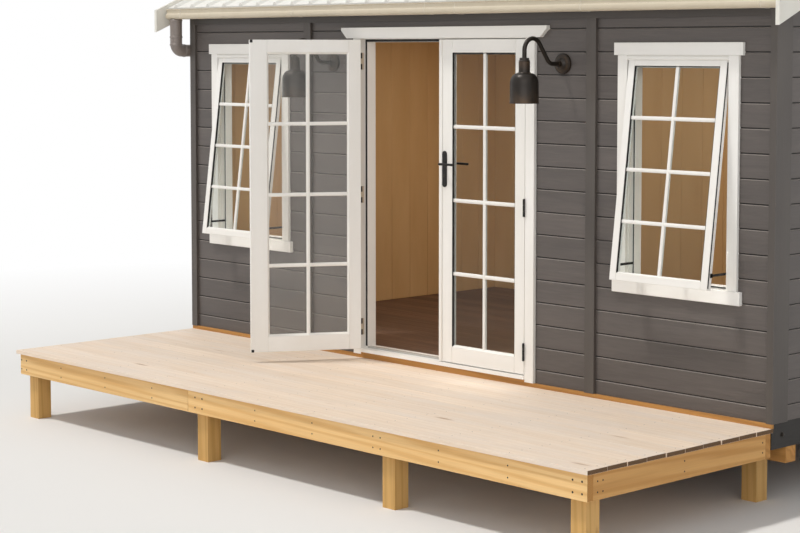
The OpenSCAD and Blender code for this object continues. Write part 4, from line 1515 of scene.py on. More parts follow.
@dataclass
class Levers(Assembly):
    """The two lever handles on one spindle."""

    x: float = 0.0645
    z: float = DoorLeaf.spindle_height
    radius: float = 0.008
    length: float = 0.125
    out: float = 0.050
    plate: float = DoorLeaf.plate
    leaf: float = DoorLeaf.thickness

    def lever(self, metal: Workpiece, face: float, sign: int) -> None:
        """Adds one lever: a rose and neck out of the plate, and a bar that ends in a knob.

        Args:
            metal: Takes the lever.
            face: The leaf's face.
            sign: One or minus one, the way out of that face.
        """
        start = self.plate + 0.0003
        metal.lathe([(0.0, start), (0.0125, start), (0.0125, start + 0.004), (0.0095, start + 0.006),
                     (self.radius * 0.86, start + 0.007), (self.radius * 0.86, self.out), (0.0, self.out)],
                    facing((self.x, face, self.z), (0, sign, 0)), 24)
        y = face + sign * self.out
        first, last = self.x - self.radius, self.x + self.length - self.radius
        bar = self.radius * 0.95
        shape = [(0.0, 0.0), (self.radius * 0.7, 0.0012), (self.radius, 0.005), (self.radius, 0.014),
                 (bar, 0.018), (bar, last - first - 0.016), (self.radius, last - first - 0.011),
                 (self.radius, last - first - 0.003), (self.radius * 0.8, last - first), (0.0, last - first)]
        metal.lathe(shape, facing((first, y, self.z), (1, 0, 0)), 24)

    def dress(self) -> None:
        """Builds both levers."""
        metal = Workpiece("lever_handles", Palette.BLACK)
        self.lever(metal, 0.0, -1)
        self.lever(metal, self.leaf, 1)
        piece = self.fit(metal, "door_levers", self.survey.origin)
        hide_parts("door_levers")


@dataclass
class Doorway(Assembly):
    """What the frame carries: seals, threshold and the fixed halves of the hinges."""

    middle: float = 0.012
    jamb: float = 0.7435
    stop: float = 0.020
    stop_face: float = 0.045
    head: float = 2.113
    sill_top: float = 0.063
    seal: float = 0.0165
    seal_out: float = 0.0015
    seal_foot: float = 0.012
    seal_rounding: float = 0.0005
    inset: float = 0.0015
    strip: float = 0.0008
    strip_up: float = 0.010
    strip_back: float = 0.030
    strip_screws: int = 9
    flap_neck: float = 0.024
    flap_back: float = 0.038

    def seals(self) -> None:
        """Builds the seals on the stops."""
        rubber = Workpiece("frame_seals", Palette.RUBBER)
        face, high = self.stop_face - self.seal_out, self.head - self.stop + self.inset
        near = self.jamb - self.stop + self.inset
        reach = near + self.seal
        for side in Side:
            rubber.block((self.middle + side.value * near, face, self.sill_top + self.seal_foot),
                         (self.middle + side.value * reach, self.stop_face, high), self.seal_rounding)
        rubber.block((self.middle - reach, face, high), (self.middle + reach, self.stop_face, high + self.seal),
                     self.seal_rounding)
        self.fix(rubber)

    def threshold(self) -> None:
        """Builds the metal strip along the sill's stop."""
        metal = Workpiece("threshold_strip", Palette.SILL_METAL, Palette.SCREW)
        inner = self.jamb - self.stop - self.strip
        top = self.sill_top + self.strip_up
        face, high = self.stop_face - 0.0002, top + self.strip / 2
        line = [(face, self.sill_top + 0.0005), (face, high), (self.stop_face + self.strip_back, high)]
        metal.strip(line, self.strip, Axis.X, self.middle - inner, self.middle + inner)
        metal.coat = 1
        for k in range(self.strip_screws):
            x = self.middle + inner * (2 * (k + 0.5) / self.strip_screws - 1)
            place = (x, self.stop_face + self.strip_back / 2, top + self.strip)
            metal.screw(facing(place, (0, 0, 1)), 0.003, 0.0005)
        self.fix(metal)

    def hinges(self) -> None:
        """Builds the upper and lower knuckles and the flaps on the jambs."""
        metal = Workpiece("jamb_hinges", Palette.BLACK, Palette.FLAP)
        radius, third = DoorLeaf.hinge_radius, DoorLeaf.hinge_length / 3
        for side in Side:
            x, y = self.survey.pins[side]
            x0 = x + side.value * DoorLeaf.edge
            x1 = x0 - side.value * DoorLeaf.flap
            for z in DoorLeaf.hinge_heights:
                for end in (-1, 1):
                    foot = z + end * third / 2
                    shape = [(0.0, 0.0), (radius * 0.9, 0.0), (radius, 0.001), (radius, third - 0.004),
                             (radius * 0.8, third - 0.003), (radius * 0.95, third - 0.0015),
                             (radius * 0.6, third), (0.0, third)]
                    metal.lathe(shape, facing((x, y, foot), (0, 0, end)), 24)
                    metal.block((x0, y, foot), (x1, y + self.flap_neck, foot + end * third))
                metal.coat = 1
                metal.block((x0, y + self.flap_neck, z - 1.5 * third),
                            (x1, y + self.flap_back, z + 1.5 * third), 0.0004)
                metal.block((x0, y + radius + 0.0015, z - third / 2), (x1, y + self.flap_neck, z + third / 2))
                metal.coat = 0
        piece = self.fix(metal)
        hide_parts("frame_hinges")

    def dress(self) -> None:
        """Builds the doorway's small parts."""
        self.seals()
        self.threshold()
        self.hinges()


@dataclass
class Windows(Assembly):
    """The two windows: casings, and top-hung sashes set open with their stays and seals."""

    openings: Openings
    half: float = 0.348
    height: float = 1.258
    thickness: float = 0.036
    hang_y: float = 0.004
    hang_z: float = 1.9837
    angle: float = 7.3
    stile: float = 0.046
    top_rail: float = 0.032
    bottom_rail: float = 0.042
    rounding: float = 0.0016
    bar: float = 0.022
    bead: float = 0.008
    frame_half: float = 0.352
    head_out: float = 0.002
    sill_out: float = 0.008
    stop: float = 0.014
    stop_face: float = 0.058
    trim_rounding: float = 0.0015
    stay_share: float = 0.93
    lining: float = 0.066
    lining_back: float = 0.019
    lining_foot: float = 0.024
    shelf_back: float = 0.049
    shelf_past: float = 0.02
    clearance: float = 0.0003

    def middles(self) -> list[float]:
        """The middle of each window."""
        return [side.value * self.openings.window_middle for side in Side]

    def sashes(self) -> None:
        """Builds both sashes, each drawn closed and then swung out."""
        for side, x in zip(Side, self.middles()):
            timber = Workpiece(f"{side.word}_sash_joinery", Palette.WHITE_UPRIGHT, Palette.WHITE)
            rubber = Workpiece(f"{side.word}_sash_seals", Palette.RUBBER)
            light = timber.surround((-self.half, 0.0, -self.height), (self.half, self.thickness, 0.0),
                                    (self.stile, self.stile, self.bottom_rail, self.top_rail), self.rounding, (0, 1))
            Glazing(*light, self.thickness, self.bar, bead=self.bead).add(timber, rubber)
            for end in Side:
                rubber.block((end.value * self.half, 0.003, 0.01 - self.height),
                             (end.value * (self.half + 0.0015), 0.012, -0.01), 0.0004)
            rubber.block((-0.035, self.thickness, 0.008 - self.height),
                         (0.035, self.thickness + 0.010, 0.024 - self.height), 0.001)
            place = self.survey.origin @ Matrix.Translation((x, self.hang_y, self.hang_z))
            place = place @ Matrix.Rotation(-math.radians(self.angle), 4, "X")
            self.fit(timber, "pod", place)
            self.fit(rubber, "pod", place)
        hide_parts("window_sashes")

    def casings(self) -> None:
        """Builds the casings, the head, the grooved drip bar and the sill outside."""
        timber = Workpiece("window_casings", Palette.WHITE_UPRIGHT, Palette.WHITE)
        outlines, wall = self.openings, self.survey.wall
        low, high = self.hang_z + self.clearance, outlines.window_high
        drip = [(wall, low), (0.006, low), (0.006, low + 0.004), (0.0005, low + 0.007), (0.0, low + 0.014),
                (0.002, low + 0.021), (0.007, low + 0.024), (0.007, high - 0.0005), (wall, high - 0.0005)]
        for x in self.middles():
            timber.coat = 0
            for sign in (-1, 1):
                timber.block((x + sign * outlines.window_half, 0.0, outlines.window_low),
                             (x + sign * outlines.casing_half, wall, high), self.trim_rounding)
            timber.coat = 1
            timber.block((x - outlines.cap_half, -self.head_out, high),
                         (x + outlines.cap_half, wall, outlines.cap_high), self.trim_rounding)
            timber.block((x - outlines.cap_half, -self.sill_out, outlines.sill_low),
                         (x + outlines.cap_half, wall, outlines.window_low), 0.002)
            timber.bar(drip, Axis.X, x - outlines.window_half, x + outlines.window_half)
        piece = self.fix(timber)
        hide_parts("window_trims")

    def stays(self) -> None:
        """Builds a stay at each side of each sash."""
        metal = Workpiece("sash_stays", Palette.BLACK)
        reach, back = self.stay_share * self.height, self.survey.lining
        foot_y = -reach * math.sin(math.radians(self.angle)) + self.hang_y + self.thickness / 2
        z = self.hang_z - reach
        for x, end in product(self.middles(), Side):
            x0, x1 = x + end.value * (self.half + 0.0004), x + end.value * (self.frame_half - 0.0004)
            metal.block((x0, foot_y, z - 0.007), (x1, back - 0.016, z + 0.007), 0.0008)
            metal.block((x0, foot_y - 0.002, z - 0.012), (x1, foot_y + 0.020, z + 0.012), 0.0012)
            metal.block((x0, back - 0.040, z - 0.012), (x1, back - 0.018, z + 0.012), 0.0012)
        piece = self.fix(metal)
        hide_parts("window_stays")

    def linings(self) -> None:
        """Builds the stops that the closed sashes would meet, with their seals, and the casings in the room."""
        timber = Workpiece("window_linings", Palette.WHITE_UPRIGHT, Palette.RUBBER)
        outlines, back = self.openings, self.survey.lining
        low, top, face = outlines.window_low, self.hang_z + self.clearance, self.stop_face
        wide, sheet = self.lining, back + self.lining_back
        foot, head = low - outlines.hole_past, outlines.window_high + outlines.hole_past
        half, shelf = outlines.window_half + 0.007 + wide, foot - self.lining_foot
        for x in self.middles():
            timber.surround((x - self.frame_half, face, low), (x + self.frame_half, back, top), (self.stop,) * 4,
                            0.0012)
            inset = self.frame_half - 0.003
            timber.surround((x - inset, face - 0.003, low + 0.003), (x + inset, face, top - 0.003), (0.007,) * 4,
                            0.0006, (1, 1))
            timber.surround((x - half, back + 0.005, shelf), (x + half, sheet, head + wide),
                            (wide, wide, self.lining_foot, wide), self.trim_rounding)
            timber.block((x - half - self.shelf_past, sheet, shelf),
                         (x + half + self.shelf_past, back + self.shelf_back, foot), 0.002)
        self.fix(timber)

    def dress(self) -> None:
        """Builds the windows."""
        self.sashes()
        self.casings()
        self.stays()
        self.linings()


@dataclass
class Roof(Assembly):
    """The ribbed sheets with their screws, and the edges of the ridge cap."""

    half: float = 2.715
    ribs: int = 29
    rib_foot: float = 0.021
    rib_top: float = 0.0085
    pan: float = 0.0076
    crown: float = 0.0276
    swage: float = 0.0022
    swage_half: float = 0.006
    swage_places: tuple[float, ...] = (0.36, 0.64)
    cap_wing: float = 0.150
    cap_sheet: float = 0.005
    screw_rows: tuple[float, ...] = (0.12, 0.62, 1.12, 1.62)
    screw: float = 0.0055

    def slope_place(self, wall: Wall) -> Matrix:
        """Finds the way from a slope's own terms, with y up the slope and z out of it, to the frame.

        Args:
            wall: The wall that the slope falls to.

        Returns:
            The matrix.
        """
        survey = self.survey
        turn = Matrix.Rotation(math.atan(survey.slope), 4, "X")
        return survey.place_at(wall) @ Matrix.Translation((0.0, survey.roof_front, survey.roof_low)) @ turn

    def section(self) -> Outline:
        """Draws the sheet's closed section across the slope.

        Returns:
            Places and heights.
        """
        line: Outline = [(self.half, 0.0), (-self.half, 0.0), (-self.half, self.pan)]
        for k in range(self.ribs):
            x = self.rib_middle(k)
            line += [(x - self.rib_foot, self.pan), (x - self.rib_top, self.crown),
                     (x + self.rib_top, self.crown), (x + self.rib_foot, self.pan)]
            for share in self.swage_places if k < self.ribs - 1 else ():
                rise = x + share * 2 * self.half / self.ribs
                line += [(rise - self.swage_half, self.pan), (rise, self.pan + self.swage),
                         (rise + self.swage_half, self.pan)]
        return [*line, (self.half, self.pan)]

    def rib_middle(self, k: int) -> float:
        """The middle of a rib, counted from the left."""
        return -self.half + (k + 0.5) * 2 * self.half / self.ribs

    def dress(self) -> None:
        """Builds both slopes."""
        survey = self.survey
        length = (survey.middle - survey.roof_front) / math.cos(math.atan(survey.slope))
        for wall, node in ((Wall.FRONT, "roof_front"), (Wall.BACK, "roof_back")):
            piece = Workpiece(f"{node}_sheets", Palette.ROOF, Palette.SCREW)
            piece.bar(self.section(), Axis.Y, lambda x, z: z * survey.slope,
                      lambda x, z: length - 0.0005 + z * survey.slope)
            piece.coat = 1
            for row, k in product(self.screw_rows, range(0, self.ribs, 2)):
                piece.screw(Matrix.Translation((self.rib_middle(k), row, self.crown)), self.screw, 0.0022)
            self.fit(piece, "pod", self.slope_place(wall))
            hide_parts(node)
        self.cap_rolls()

    def cap_rolls(self) -> None:
        """Builds the folded edges and the screws of the ridge cap."""
        survey = self.survey
        piece = Workpiece("ridge_cap_edges", Palette.ROOF, Palette.SCREW)
        tilt = math.atan(survey.slope)
        reach = survey.barge_out - 0.001
        for sign in (-1, 1):
            y = survey.middle + sign * self.cap_wing * math.cos(tilt)
            z = survey.under_sheet(y) + survey.sheet + 0.006
            piece.coat = 0
            piece.tube([(-reach, y, z), (reach, y, z)], 0.0035, 10)
            piece.coat = 1
            near = survey.middle + sign * 0.8 * self.cap_wing * math.cos(tilt)
            top = survey.under_sheet(near) + survey.sheet + self.cap_sheet / math.cos(tilt)
            for k in range(1, self.ribs, 2):
                piece.screw(facing((self.rib_middle(k), near, top), (0, sign * math.sin(tilt), math.cos(tilt))),
                            self.screw, 0.002)
        self.fix(piece)


@dataclass
class Rainwater(Assembly):
    """Gutters with their joints and ends, and the downpipes with their sockets and straps."""

    back: float = -0.044
    front: float = -0.134
    low: float = 2.264
    high: float = 2.338
    reach: float = 2.697
    metal: float = 0.0012
    end: float = 0.0015
    joint: float = 0.002
    joint_half: float = 0.006
    joints: tuple[float, ...] = (-2.537, -1.274, 0.004, 0.269, 1.299, 2.559)
    pipe_x: float = -2.633
    pipe_radius: float = 0.044
    pipe_bore: float = 0.041
    elbow: float = 2.087
    bend: float = 0.050
    run: float = 0.150
    foot: float = 0.060
    strap: float = 0.0018
    strap_half: float = 0.012
    strap_wing: float = 0.022
    strap_opening: float = 62.0
    strap_heights: tuple[float, ...] = (1.62, 0.86, 0.12)

    @property
    def pipe_y(self) -> float:
        """The gutter's middle, where the pipe leaves it."""
        return (self.back + self.front) / 2

    def line(self, out: float = 0.0) -> Outline:
        """The gutter's section from its back edge, under its floor, to its front bead.

        Args:
            out: How far it stands out of the gutter itself.

        Returns:
            The line, as distances from the front wall's trims and heights.
        """
        front, low, high = self.front - out, self.low - out, self.high
        radius = 0.022 + out
        lower = arc((front + radius, low + radius), radius, 270, 180, 8)
        steps = ((0.0, 0.029), (0.0015, 0.035), (0.0050, 0.039), (0.0085, 0.041), (0.0085, 0.064), (0.0030, 0.068))
        return [(self.back, high), (self.back, low), *lower, *[(front + a, self.low + b) for a, b in steps],
                (front, high - 0.003), (front + 0.002, high), (front + 0.010, high)]

    def gutter(self, wall: Wall) -> Piece:
        """Builds one gutter with its joints and ends.

        Args:
            wall: The wall that it runs along.

        Returns:
            The new piece.
        """
        piece = Workpiece(f"{wall.value}_gutter", Palette.TRIM_STEEL)
        piece.strip(self.line(), -self.metal, Axis.X, -self.reach, self.reach)
        for x in self.joints:
            piece.strip(self.line(self.joint), -self.joint, Axis.X, x - self.joint_half, x + self.joint_half)
        for end in (-1, 1):
            piece.bar(self.line(), Axis.X, *sorted((end * self.reach, end * (self.reach - self.end))))
        return self.fit(piece, "pod", self.survey.place_at(wall))

    def route(self) -> list[Point]:
        """Draws the downpipe's middle line from the gutter to its foot.

        Returns:
            Its points.
        """
        x, y, z, bend = self.pipe_x, self.pipe_y, self.elbow, self.bend
        path: list[Point] = [(x, y, self.low), (x, y, z)]
        path += [(x, a, b) for a, b in arc((y + bend, z), bend, 180, 270, 10)][1:]
        second = y + bend + self.run
        path += [(x, a, b) for a, b in arc((second, z - 2 * bend), bend, 90, 0, 10)]
        path.append((x, second + bend, self.survey.ground + self.foot))
        return path

    def downpipe(self, wall: Wall) -> Piece:
        """Builds one downpipe with its sockets and straps.

        Args:
            wall: The wall whose gutter it serves.

        Returns:
            The new piece.
        """
        piece = Workpiece(f"{wall.value}_downpipe", Palette.PIPE, Palette.SCREW)
        piece.tube(self.route(), self.pipe_radius, 36, self.pipe_bore)
        y = self.pipe_y
        out = self.pipe_radius + 0.0026
        sleeve = [(self.pipe_radius, 0.0), (out, 0.002), (out, 0.013), (self.pipe_radius, 0.016)]
        for z in (self.elbow + 0.040, self.elbow - 0.015, self.low - 0.017):
            piece.lathe(sleeve, Matrix.Translation((self.pipe_x, y, z)), 36, closed=True)
        level = self.elbow - self.bend
        for start in (y + self.bend + 0.012, y + self.bend + self.run - 0.028):
            piece.lathe(sleeve, facing((self.pipe_x, start, level), (0, 1, 0)), 36, closed=True)
        upright = y + 2 * self.bend + self.run
        piece.lathe(sleeve, Matrix.Translation((self.pipe_x, upright, level - self.bend - 0.033)), 36, closed=True)
        self.straps(piece, upright)
        return self.fit(piece, "pod", self.survey.place_at(wall))

    def straps(self, piece: Workpiece, y: float) -> None:
        """Adds the straps that hold the upright pipe to the end wall.

        Args:
            piece: Takes them.
            y: The pipe's distance from the front.
        """
        wall_x = -(self.survey.half - self.survey.wall) - Cladding.face
        outer, opening = self.pipe_radius + self.strap, math.radians(self.strap_opening)
        band = arc((self.pipe_x, y), self.pipe_radius, self.strap_opening, 360 - self.strap_opening, 24)
        for z in self.strap_heights:
            low, high = z - self.strap_half, z + self.strap_half
            piece.strip(band, -self.strap, Axis.Z, low, high)
            for end in (-1, 1):
                foot = y + end * outer * math.sin(opening)
                piece.block((self.pipe_x + outer * math.cos(opening), foot, low),
                            (wall_x, foot - end * self.strap, high))
                piece.block((wall_x - self.strap, foot, low), (wall_x, foot + end * self.strap_wing, high), 0.0004)
                piece.coat = 1
                piece.screw(facing((wall_x - self.strap, foot + end * 0.012, z), (-1, 0, 0)), 0.004, 0.0015)
                piece.coat = 0

    def dress(self) -> None:
        """Builds the gutters and the downpipes."""
        gutters = [self.gutter(wall) for wall in (Wall.FRONT, Wall.BACK)]
        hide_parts("gutter_floors", "gutter_bends", "gutter_fronts", "gutter_backs", "gutter_ends")
        pipes = [self.downpipe(wall) for wall in (Wall.FRONT, Wall.BACK)]
        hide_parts("downpipe")


@dataclass
class Deck(Assembly):
    """The deck's boards, fascia and screws."""

    half: float = 2.580
    front: float = -1.500
    back: float = 0.020
    thickness: float = 0.024
    boards: int = 10
    gap: float = 0.003
    stagger: tuple[float, ...] = (0.0, 0.003, 0.001, 0.004, 0.0, 0.002, 0.005, 0.001, 0.003, 0.002)
    board_edge: float = 0.0012
    fascia_half: float = 2.560
    fascia_front: float = -1.478
    fascia_thickness: float = 0.045
    fascia_low: float = -0.164
    fascia_joint: float = -0.669
    joist: float = 0.045
    joist_count: int = 11
    fascia_screws: tuple[float, ...] = (-2.560, -2.485, -2.064, -1.554, -1.042, -0.597, -0.527, -0.019, 0.496,
                                        1.008, 1.067, 1.521, 2.025, 2.465, 2.527)
    coach_screws: tuple[int, ...] = (0, 1, 5, 6, 13, 14)
    end_screws: tuple[float, ...] = (-1.40, -1.36, -0.72, -0.05)
    screw_in: float = 0.014

    @property
    def pitch(self) -> float:
        """A board's width with its gap."""
        return (self.back - self.front + self.gap) / self.boards

    def planks(self) -> None:
        """Builds the boards, with their sawn ends."""
        piece = Workpiece("deck_planks", Palette.DECK, Palette.END_GRAIN, Palette.SEALED_ENDS)
        for k in range(self.boards):
            start = self.front + k * self.pitch
            right = self.half - self.stagger[k]
            left = -self.half + self.stagger[-1 - k]
            piece.block((left, start, -self.thickness), (right, start + self.pitch - self.gap, 0.0),
                        self.board_edge, ends=Axis.X)
        for k, face in enumerate(piece.faces):
            coat, board, smooth = piece.marks[k]
            if coat == 1 and piece.points[face[0]].x < 0:
                piece.marks[k] = (2, board, smooth)
        planks = self.fix(piece)
        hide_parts("deck_boards")

    def joist_middle(self, k: int) -> float:
        """The middle of a joist, counted from the left."""
        return -self.fascia_half + self.joist / 2 + k * (2 * self.fascia_half - self.joist) / (self.joist_count - 1)

    def board_screws(self) -> None:
        """Builds a pair of screws in each board over each joist."""
        piece = Workpiece("deck_board_screws", Palette.SCREW)
        for row, k, share in product(range(self.boards), range(self.joist_count), (0.2, 0.8)):
            y = self.front + (row + share) * self.pitch
            piece.screw(Matrix.Translation((self.joist_middle(k), y, -0.0003)), 0.0036, 0.0006)
        self.fix(piece)

    def fascia(self) -> None:
        """Builds the two fascia boards, which meet over a post."""
        piece = Workpiece("deck_fascia_boards", Palette.PINE, Palette.FRESH_ENDS)
        back = self.fascia_front + self.fascia_thickness
        for x0, x1 in ((-self.fascia_half, self.fascia_joint - 0.0008), (self.fascia_joint + 0.0008, self.fascia_half)):
            piece.block((x0, self.fascia_front, self.fascia_low), (x1, back, -self.thickness), 0.0018, ends=Axis.X)
        boards = self.fix(piece)
        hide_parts("deck_fascia")

    def fascia_fixings(self) -> None:
        """Builds the screws in the fascia and in the end joists."""
        piece = Workpiece("deck_fascia_screws", Palette.SCREW)
        for k, x in enumerate(self.fascia_screws):
            end = self.fascia_half - self.screw_in
            radius = 0.0062 if k in self.coach_screws else 0.0048
            for z in (-0.066, -0.128):
                piece.screw(facing((max(-end, min(end, x)), self.fascia_front, z), (0, -1, 0)), radius, 0.001)
        for side, y, z in product(Side, self.end_screws, (-0.07, -0.125)):
            piece.screw(facing((side.value * self.fascia_half, y, z), (side.value, 0, 0)), 0.005, 0.001)
        self.fix(piece)

    def dress(self) -> None:
        """Builds the deck."""
        self.planks()
        self.board_screws()
        self.fascia()
        self.fascia_fixings()


@dataclass
class Lamps(Assembly):
    """The two swan-neck lamps."""

    middle: float = 0.012
    apart: float = 1.032
    height: float = 1.960
    reach: float = 0.320
    tube_radius: float = 0.013
    low_bend: Point = (0.075, 0.062, 0.062)
    top_bend: Point = (0.250, 0.078, 0.070)
    shade_top: float = 0.036
    plate_radius: float = 0.062
    rim: float = 0.0865
    neck: float = 0.033
    neck_height: float = 0.072
    shade_height: float = 0.176
    shoulder: float = 0.062
    cap: float = 0.016
    wall: float = 0.0022

    def neck_line(self) -> list[tuple[float, float]]:
        """Draws the arm's line.

        Returns:
            Distances out of the wall and heights above the plate's centre.
        """
        (a, b, lower), (c, d, upper) = self.low_bend, self.top_bend
        span = Vector((c - a, d - b))
        bends = lower + upper
        straight = math.sqrt(span.length_squared - bends * bends)
        turn = math.degrees(math.atan2(span.y, span.x) - math.atan2(straight, bends))
        line = [(-0.010, b - lower), (a, b - lower)]
        line += arc((a, b), lower, -90, turn, 14)[1:]
        line += arc((c, d), upper, 180 + turn, 0, 20)
        line.append((self.reach, self.shade_top - 0.004))
        return line

    def shade(self, metal: Workpiece, x: float) -> None:
        """Adds the bell, its neck and the collar over it.

        Args:
            metal: Takes them.
            x: The lamp's place along the wall.
        """
        top = self.height + self.shade_top - self.cap
        low = -self.neck_height - self.shade_height
        bell_in, bell_out = self.neck + 0.006, self.rim - 0.003
        foot = -self.neck_height - self.shoulder
        shoulder = [(bell_in + (bell_out - bell_in) * math.cos(a), foot + self.shoulder * math.sin(a))
                    for a in (math.radians(9 * k) for k in range(11))]
        outer: Outline = [(self.rim, low), (self.rim, low + 0.004), (bell_out + 0.001, low + 0.007), *shoulder]
        outer += [(self.neck + 0.0015, -self.neck_height + 0.004), (self.neck, -self.neck_height + 0.010),
                  (self.neck, -0.008), (self.neck - 0.0015, -0.006), (self.neck - 0.0015, -0.004),
                  (self.neck, -0.002), (self.neck - 0.001, 0.0)]
        outer += [(0.0286, 0.003), (0.0275, self.cap - 0.002), (0.0255, self.cap)]
        thin = self.wall
        inner: Outline = [(r - thin, z - thin) for r, z in reversed(shoulder)]
        inner += [(bell_out - thin, low + 0.006), (self.rim - thin, low)]
        closed = [(0.0, self.cap), *reversed(outer), *reversed(inner), (0.0, -self.neck_height - 0.004)]
        metal.lathe(closed, Matrix.Translation((x, -self.reach, top)), 64)

    def plate(self, metal: Workpiece, x: float) -> None:
        """Adds the wall plate with its turned steps and its knob.

        Args:
            metal: Takes it.
            x: The lamp's place along the wall.
        """
        wall = self.survey.wall - Cladding.face
        place = facing((x, wall, self.height), (0, -1, 0))
        radius = self.plate_radius
        steps: Outline = [(0.0, 0.0), (radius, 0.0), (radius, 0.010), (radius - 0.003, 0.014),
                          (radius - 0.011, 0.0155), (radius - 0.014, 0.0185), (0.036, 0.0200), (0.030, 0.0245),
                          (0.024, 0.030), (0.020, 0.034), (0.0, 0.034)]
        metal.lathe(steps, place, 56)
        metal.tube([(x, wall - 0.030, self.height), (x, wall - 0.048, self.height)], 0.0175, 24)
        for side in Side:
            spot = (x + side.value * 0.0455, wall - 0.0185, self.height)
            metal.screw(facing(spot, (0, -1, 0)), 0.0048, 0.0022)

    def dress(self) -> None:
        """Builds both lamps."""
        for side in Side:
            x = self.middle + side.value * self.apart
            arm = Workpiece(f"{side.word}_lamp_arm", Palette.BRONZE)
            arm.tube([(x, -out, self.height + up) for out, up in self.neck_line()], self.tube_radius, 20)
            self.plate(arm, x)
            shade = Workpiece(f"{side.word}_lamp_shade", Palette.BRONZE)
            self.shade(shade, x)
            self.fix(arm)
            self.fix(shade)
        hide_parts("lamp_arms")
        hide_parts("lamp_shades")


@dataclass
class Base(Assembly):
    """Bolts through the skirt."""

    skirt: float = 0.020
    bolt_in: float = 0.12
    bolt_z: float = -0.048

    def dress(self) -> None:
        """Builds the bolts."""
        piece = Workpiece("skirt_bolts", Palette.SCREW)
        out = self.survey.half - self.skirt
        for side in Side:
            for y in (self.bolt_in, self.survey.middle, self.survey.depth - self.bolt_in):
                place = facing((side.value * out, y, self.bolt_z), (side.value, 0, 0))
                piece.lathe([(0.0, 0.0), (0.016, 0.0), (0.016, 0.002), (0.0, 0.002)], place, 24)
                piece.lathe([(0.0, 0.002), (0.0095, 0.002), (0.0095, 0.008), (0.008, 0.009), (0.0, 0.009)], place, 6)
        self.fix(piece)


class NodeFinishes:
    """The finish of each CAD node that stays."""

    COATS: dict[Finish, tuple[str, ...]] = {
        Palette.WALL_CORE: ("front_wall_left", "front_wall_right", "front_wall_over_door", "back_wall",
                            "left_end_wall", "right_end_wall"),
        Palette.WALL_UPRIGHT: ("corner_boards", "cover_strips"),
        Palette.FRIEZE: ("frieze_boards",),
        Palette.SKIRT: ("long_skirts",),
        Palette.END_SKIRT: ("end_skirts",),
        Palette.WHITE_UPRIGHT: ("window_trims", "window_frames", "door_frame", "left_leaf", "right_leaf",
                                "window_sashes"),
        Palette.WHITE: ("door_head_trim", "door_sill"),
        Palette.CEILING: ("ceiling",),
        Palette.GLASS: ("window_glass", "right_leaf_glass"),
        Palette.DUSTY_GLASS: ("left_leaf_glass",),
        Palette.BLACK: ("frame_hinges", "left_leaf_hardware", "right_leaf_hardware", "door_levers",
                        "window_stays"),
        Palette.ROOF: ("roof_front", "roof_back", "ridge_cap"),
        Palette.BARGE: ("barge_boards", "fascia_boards"),
        Palette.TRIM_STEEL: ("gutter_floors", "gutter_bends", "gutter_fronts", "gutter_backs", "gutter_ends"),
        Palette.PIPE: ("downpipe",),
        Palette.DECK: ("deck_boards",),
        Palette.FLOOR: ("floor",),
        Palette.PINE: ("deck_fascia",),
        Palette.PINE_FOOT: ("deck_ledger", "deck_packer", "floor_bearers"),
        Palette.PINE_ACROSS: ("deck_joists", "floor_joists"),
        Palette.PINE_UPRIGHT: ("deck_posts", "stumps"),
        Palette.BRONZE: ("lamp_arms", "lamp_shades"),
    }

    def dress(self) -> None:
        """Gives every node its finish."""
        for finish, nodes in self.COATS.items():
            for name in nodes:
                node = frame["nodes"][name]
                node.data.materials.clear()
                node.data.materials.append(finish.material())


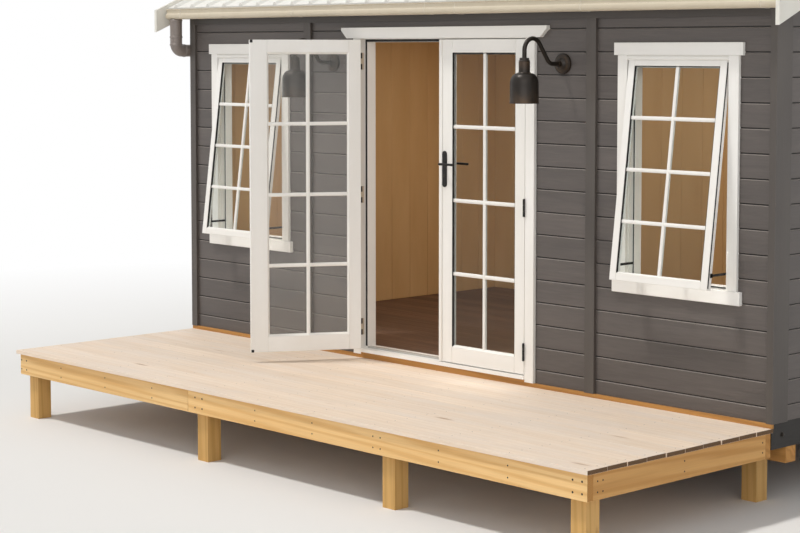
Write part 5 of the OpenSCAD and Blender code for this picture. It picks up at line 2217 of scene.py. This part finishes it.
@dataclass
class Setting:
    """The floor, the light and the camera."""

    floor_half: float = 60.0
    sky: float = 0.43
    sun: float = 1.7
    sun_softness: float = 6.0
    sun_heading: Point = (0.89, 1.0, -2.6)
    fill: float = 0.8
    fill_softness: float = 50.0
    fill_heading: Point = (-0.62, 0.75, -0.36)
    room_power: float = 25.0
    camera_place: Point = (8.6499, -9.3956, 2.5017)
    camera_down: float = 4.074
    camera_left: float = 46.825
    lens: float = 86.08
    shift: float = -0.10

    def stand(self, name: str, data: bpy.types.ID) -> Piece:
        """Puts a new object in the scene.

        Args:
            name: Its name.
            data: What it shows.

        Returns:
            The object.
        """
        made = bpy.data.objects.new(name, data)
        bpy.context.scene.collection.objects.link(made)
        return made

    def floor(self) -> None:
        """Lays the pale floor."""
        mesh = bpy.data.meshes.new("studio_floor")
        h = self.floor_half
        mesh.from_pydata([(-h, -h, 0), (h, -h, 0), (h, h, 0), (-h, h, 0)], [], [(0, 1, 2, 3)])
        mesh.materials.append(Palette.GROUND.material())
        self.stand("studio_floor", mesh)

    def world(self) -> None:
        """Sets an even sky that shows white to the camera and in reflections."""
        sky = bpy.data.worlds.new("even_sky")
        bpy.context.scene.world = sky
        graph = Graph(sky)
        graph.set(Color=(0.97, 0.985, 1.0, 1.0), Strength=self.sky)
        white = graph.node("ShaderNodeBackground", {"Color": (1.0, 1.0, 1.0, 1.0)})
        graph.show(graph.blend(graph.seen(), graph.shader.outputs[0], white.outputs[0]))

    def shine(self, name: str, energy: float, softness: float, heading: Point, colour: Point) -> None:
        """Sets a far lamp.

        Args:
            name: Its name.
            energy: Its strength.
            softness: The angle that it fills in the sky, in degrees.
            heading: The way that its light goes.
            colour: The colour of its light.
        """
        data = bpy.data.lights.new(name, "SUN")
        data.energy = energy
        data.angle = math.radians(softness)
        data.color = colour
        lamp = self.stand(name, data)
        lamp.rotation_mode = "QUATERNION"
        lamp.rotation_quaternion = Vector(heading).to_track_quat("-Z", "Y")

    def lamps(self, survey: Survey) -> None:
        """Sets the sun, a soft fill from the front and a soft light in the room.

        Args:
            survey: Says where the room is.
        """
        self.shine("sun", self.sun, self.sun_softness, self.sun_heading, (1.0, 0.97, 0.93))
        self.shine("fill", self.fill, self.fill_softness, self.fill_heading, (1.0, 0.99, 0.98))
        glow = bpy.data.lights.new("room_light", "AREA")
        glow.shape = "RECTANGLE"
        glow.size, glow.size_y = 3.6, 1.8
        glow.energy = self.room_power
        glow.color = (1.0, 0.9, 0.78)
        lamp = self.stand("room_light", glow)
        lamp.matrix_world = survey.origin @ Matrix.Translation((0.0, survey.middle, survey.ceiling - 0.03))

    def camera(self) -> None:
        """Sets the camera at the photograph's viewing angle."""
        data = bpy.data.cameras.new("camera")
        data.sensor_width = 36.0
        data.lens = self.lens
        data.shift_y = self.shift
        data.clip_end = 200.0
        camera = self.stand("camera", data)
        camera.location = self.camera_place
        camera.rotation_euler = (math.radians(90 - self.camera_down), 0.0, math.radians(self.camera_left))
        bpy.context.scene.camera = camera

    def dress(self, survey: Survey) -> None:
        """Builds the whole setting.

        Args:
            survey: Says where the room is.
        """
        bpy.context.scene.view_settings.view_transform = "Standard"
        self.floor()
        self.world()
        self.lamps(survey)
        self.camera()


def main() -> None:
    """Builds the pod's looks round its frame."""
    logging.basicConfig(level=logging.INFO, format="%(message)s")
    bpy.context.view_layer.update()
    survey = Survey.take()
    openings = Openings()
    Setting().dress(survey)
    NodeFinishes().dress()
    assemblies: list[Assembly] = [
        Cladding(survey, openings),
        Interior(survey, openings),
        Doorway(survey),
        DoorLeaf(survey, Side.LEFT, 120.0),
        DoorLeaf(survey, Side.RIGHT, 0.0),
        Levers(survey),
        Windows(survey, openings),
        Roof(survey),
        Rainwater(survey),
        Deck(survey),
        Base(survey),
        Lamps(survey),
    ]
    for assembly in assemblies:
        assembly.dress()
        for piece in assembly.made:
            log.info("%s: %s, %d faces", type(assembly).__name__, piece.name, len(piece.data.polygons))


if __name__ == "__main__":
    main()
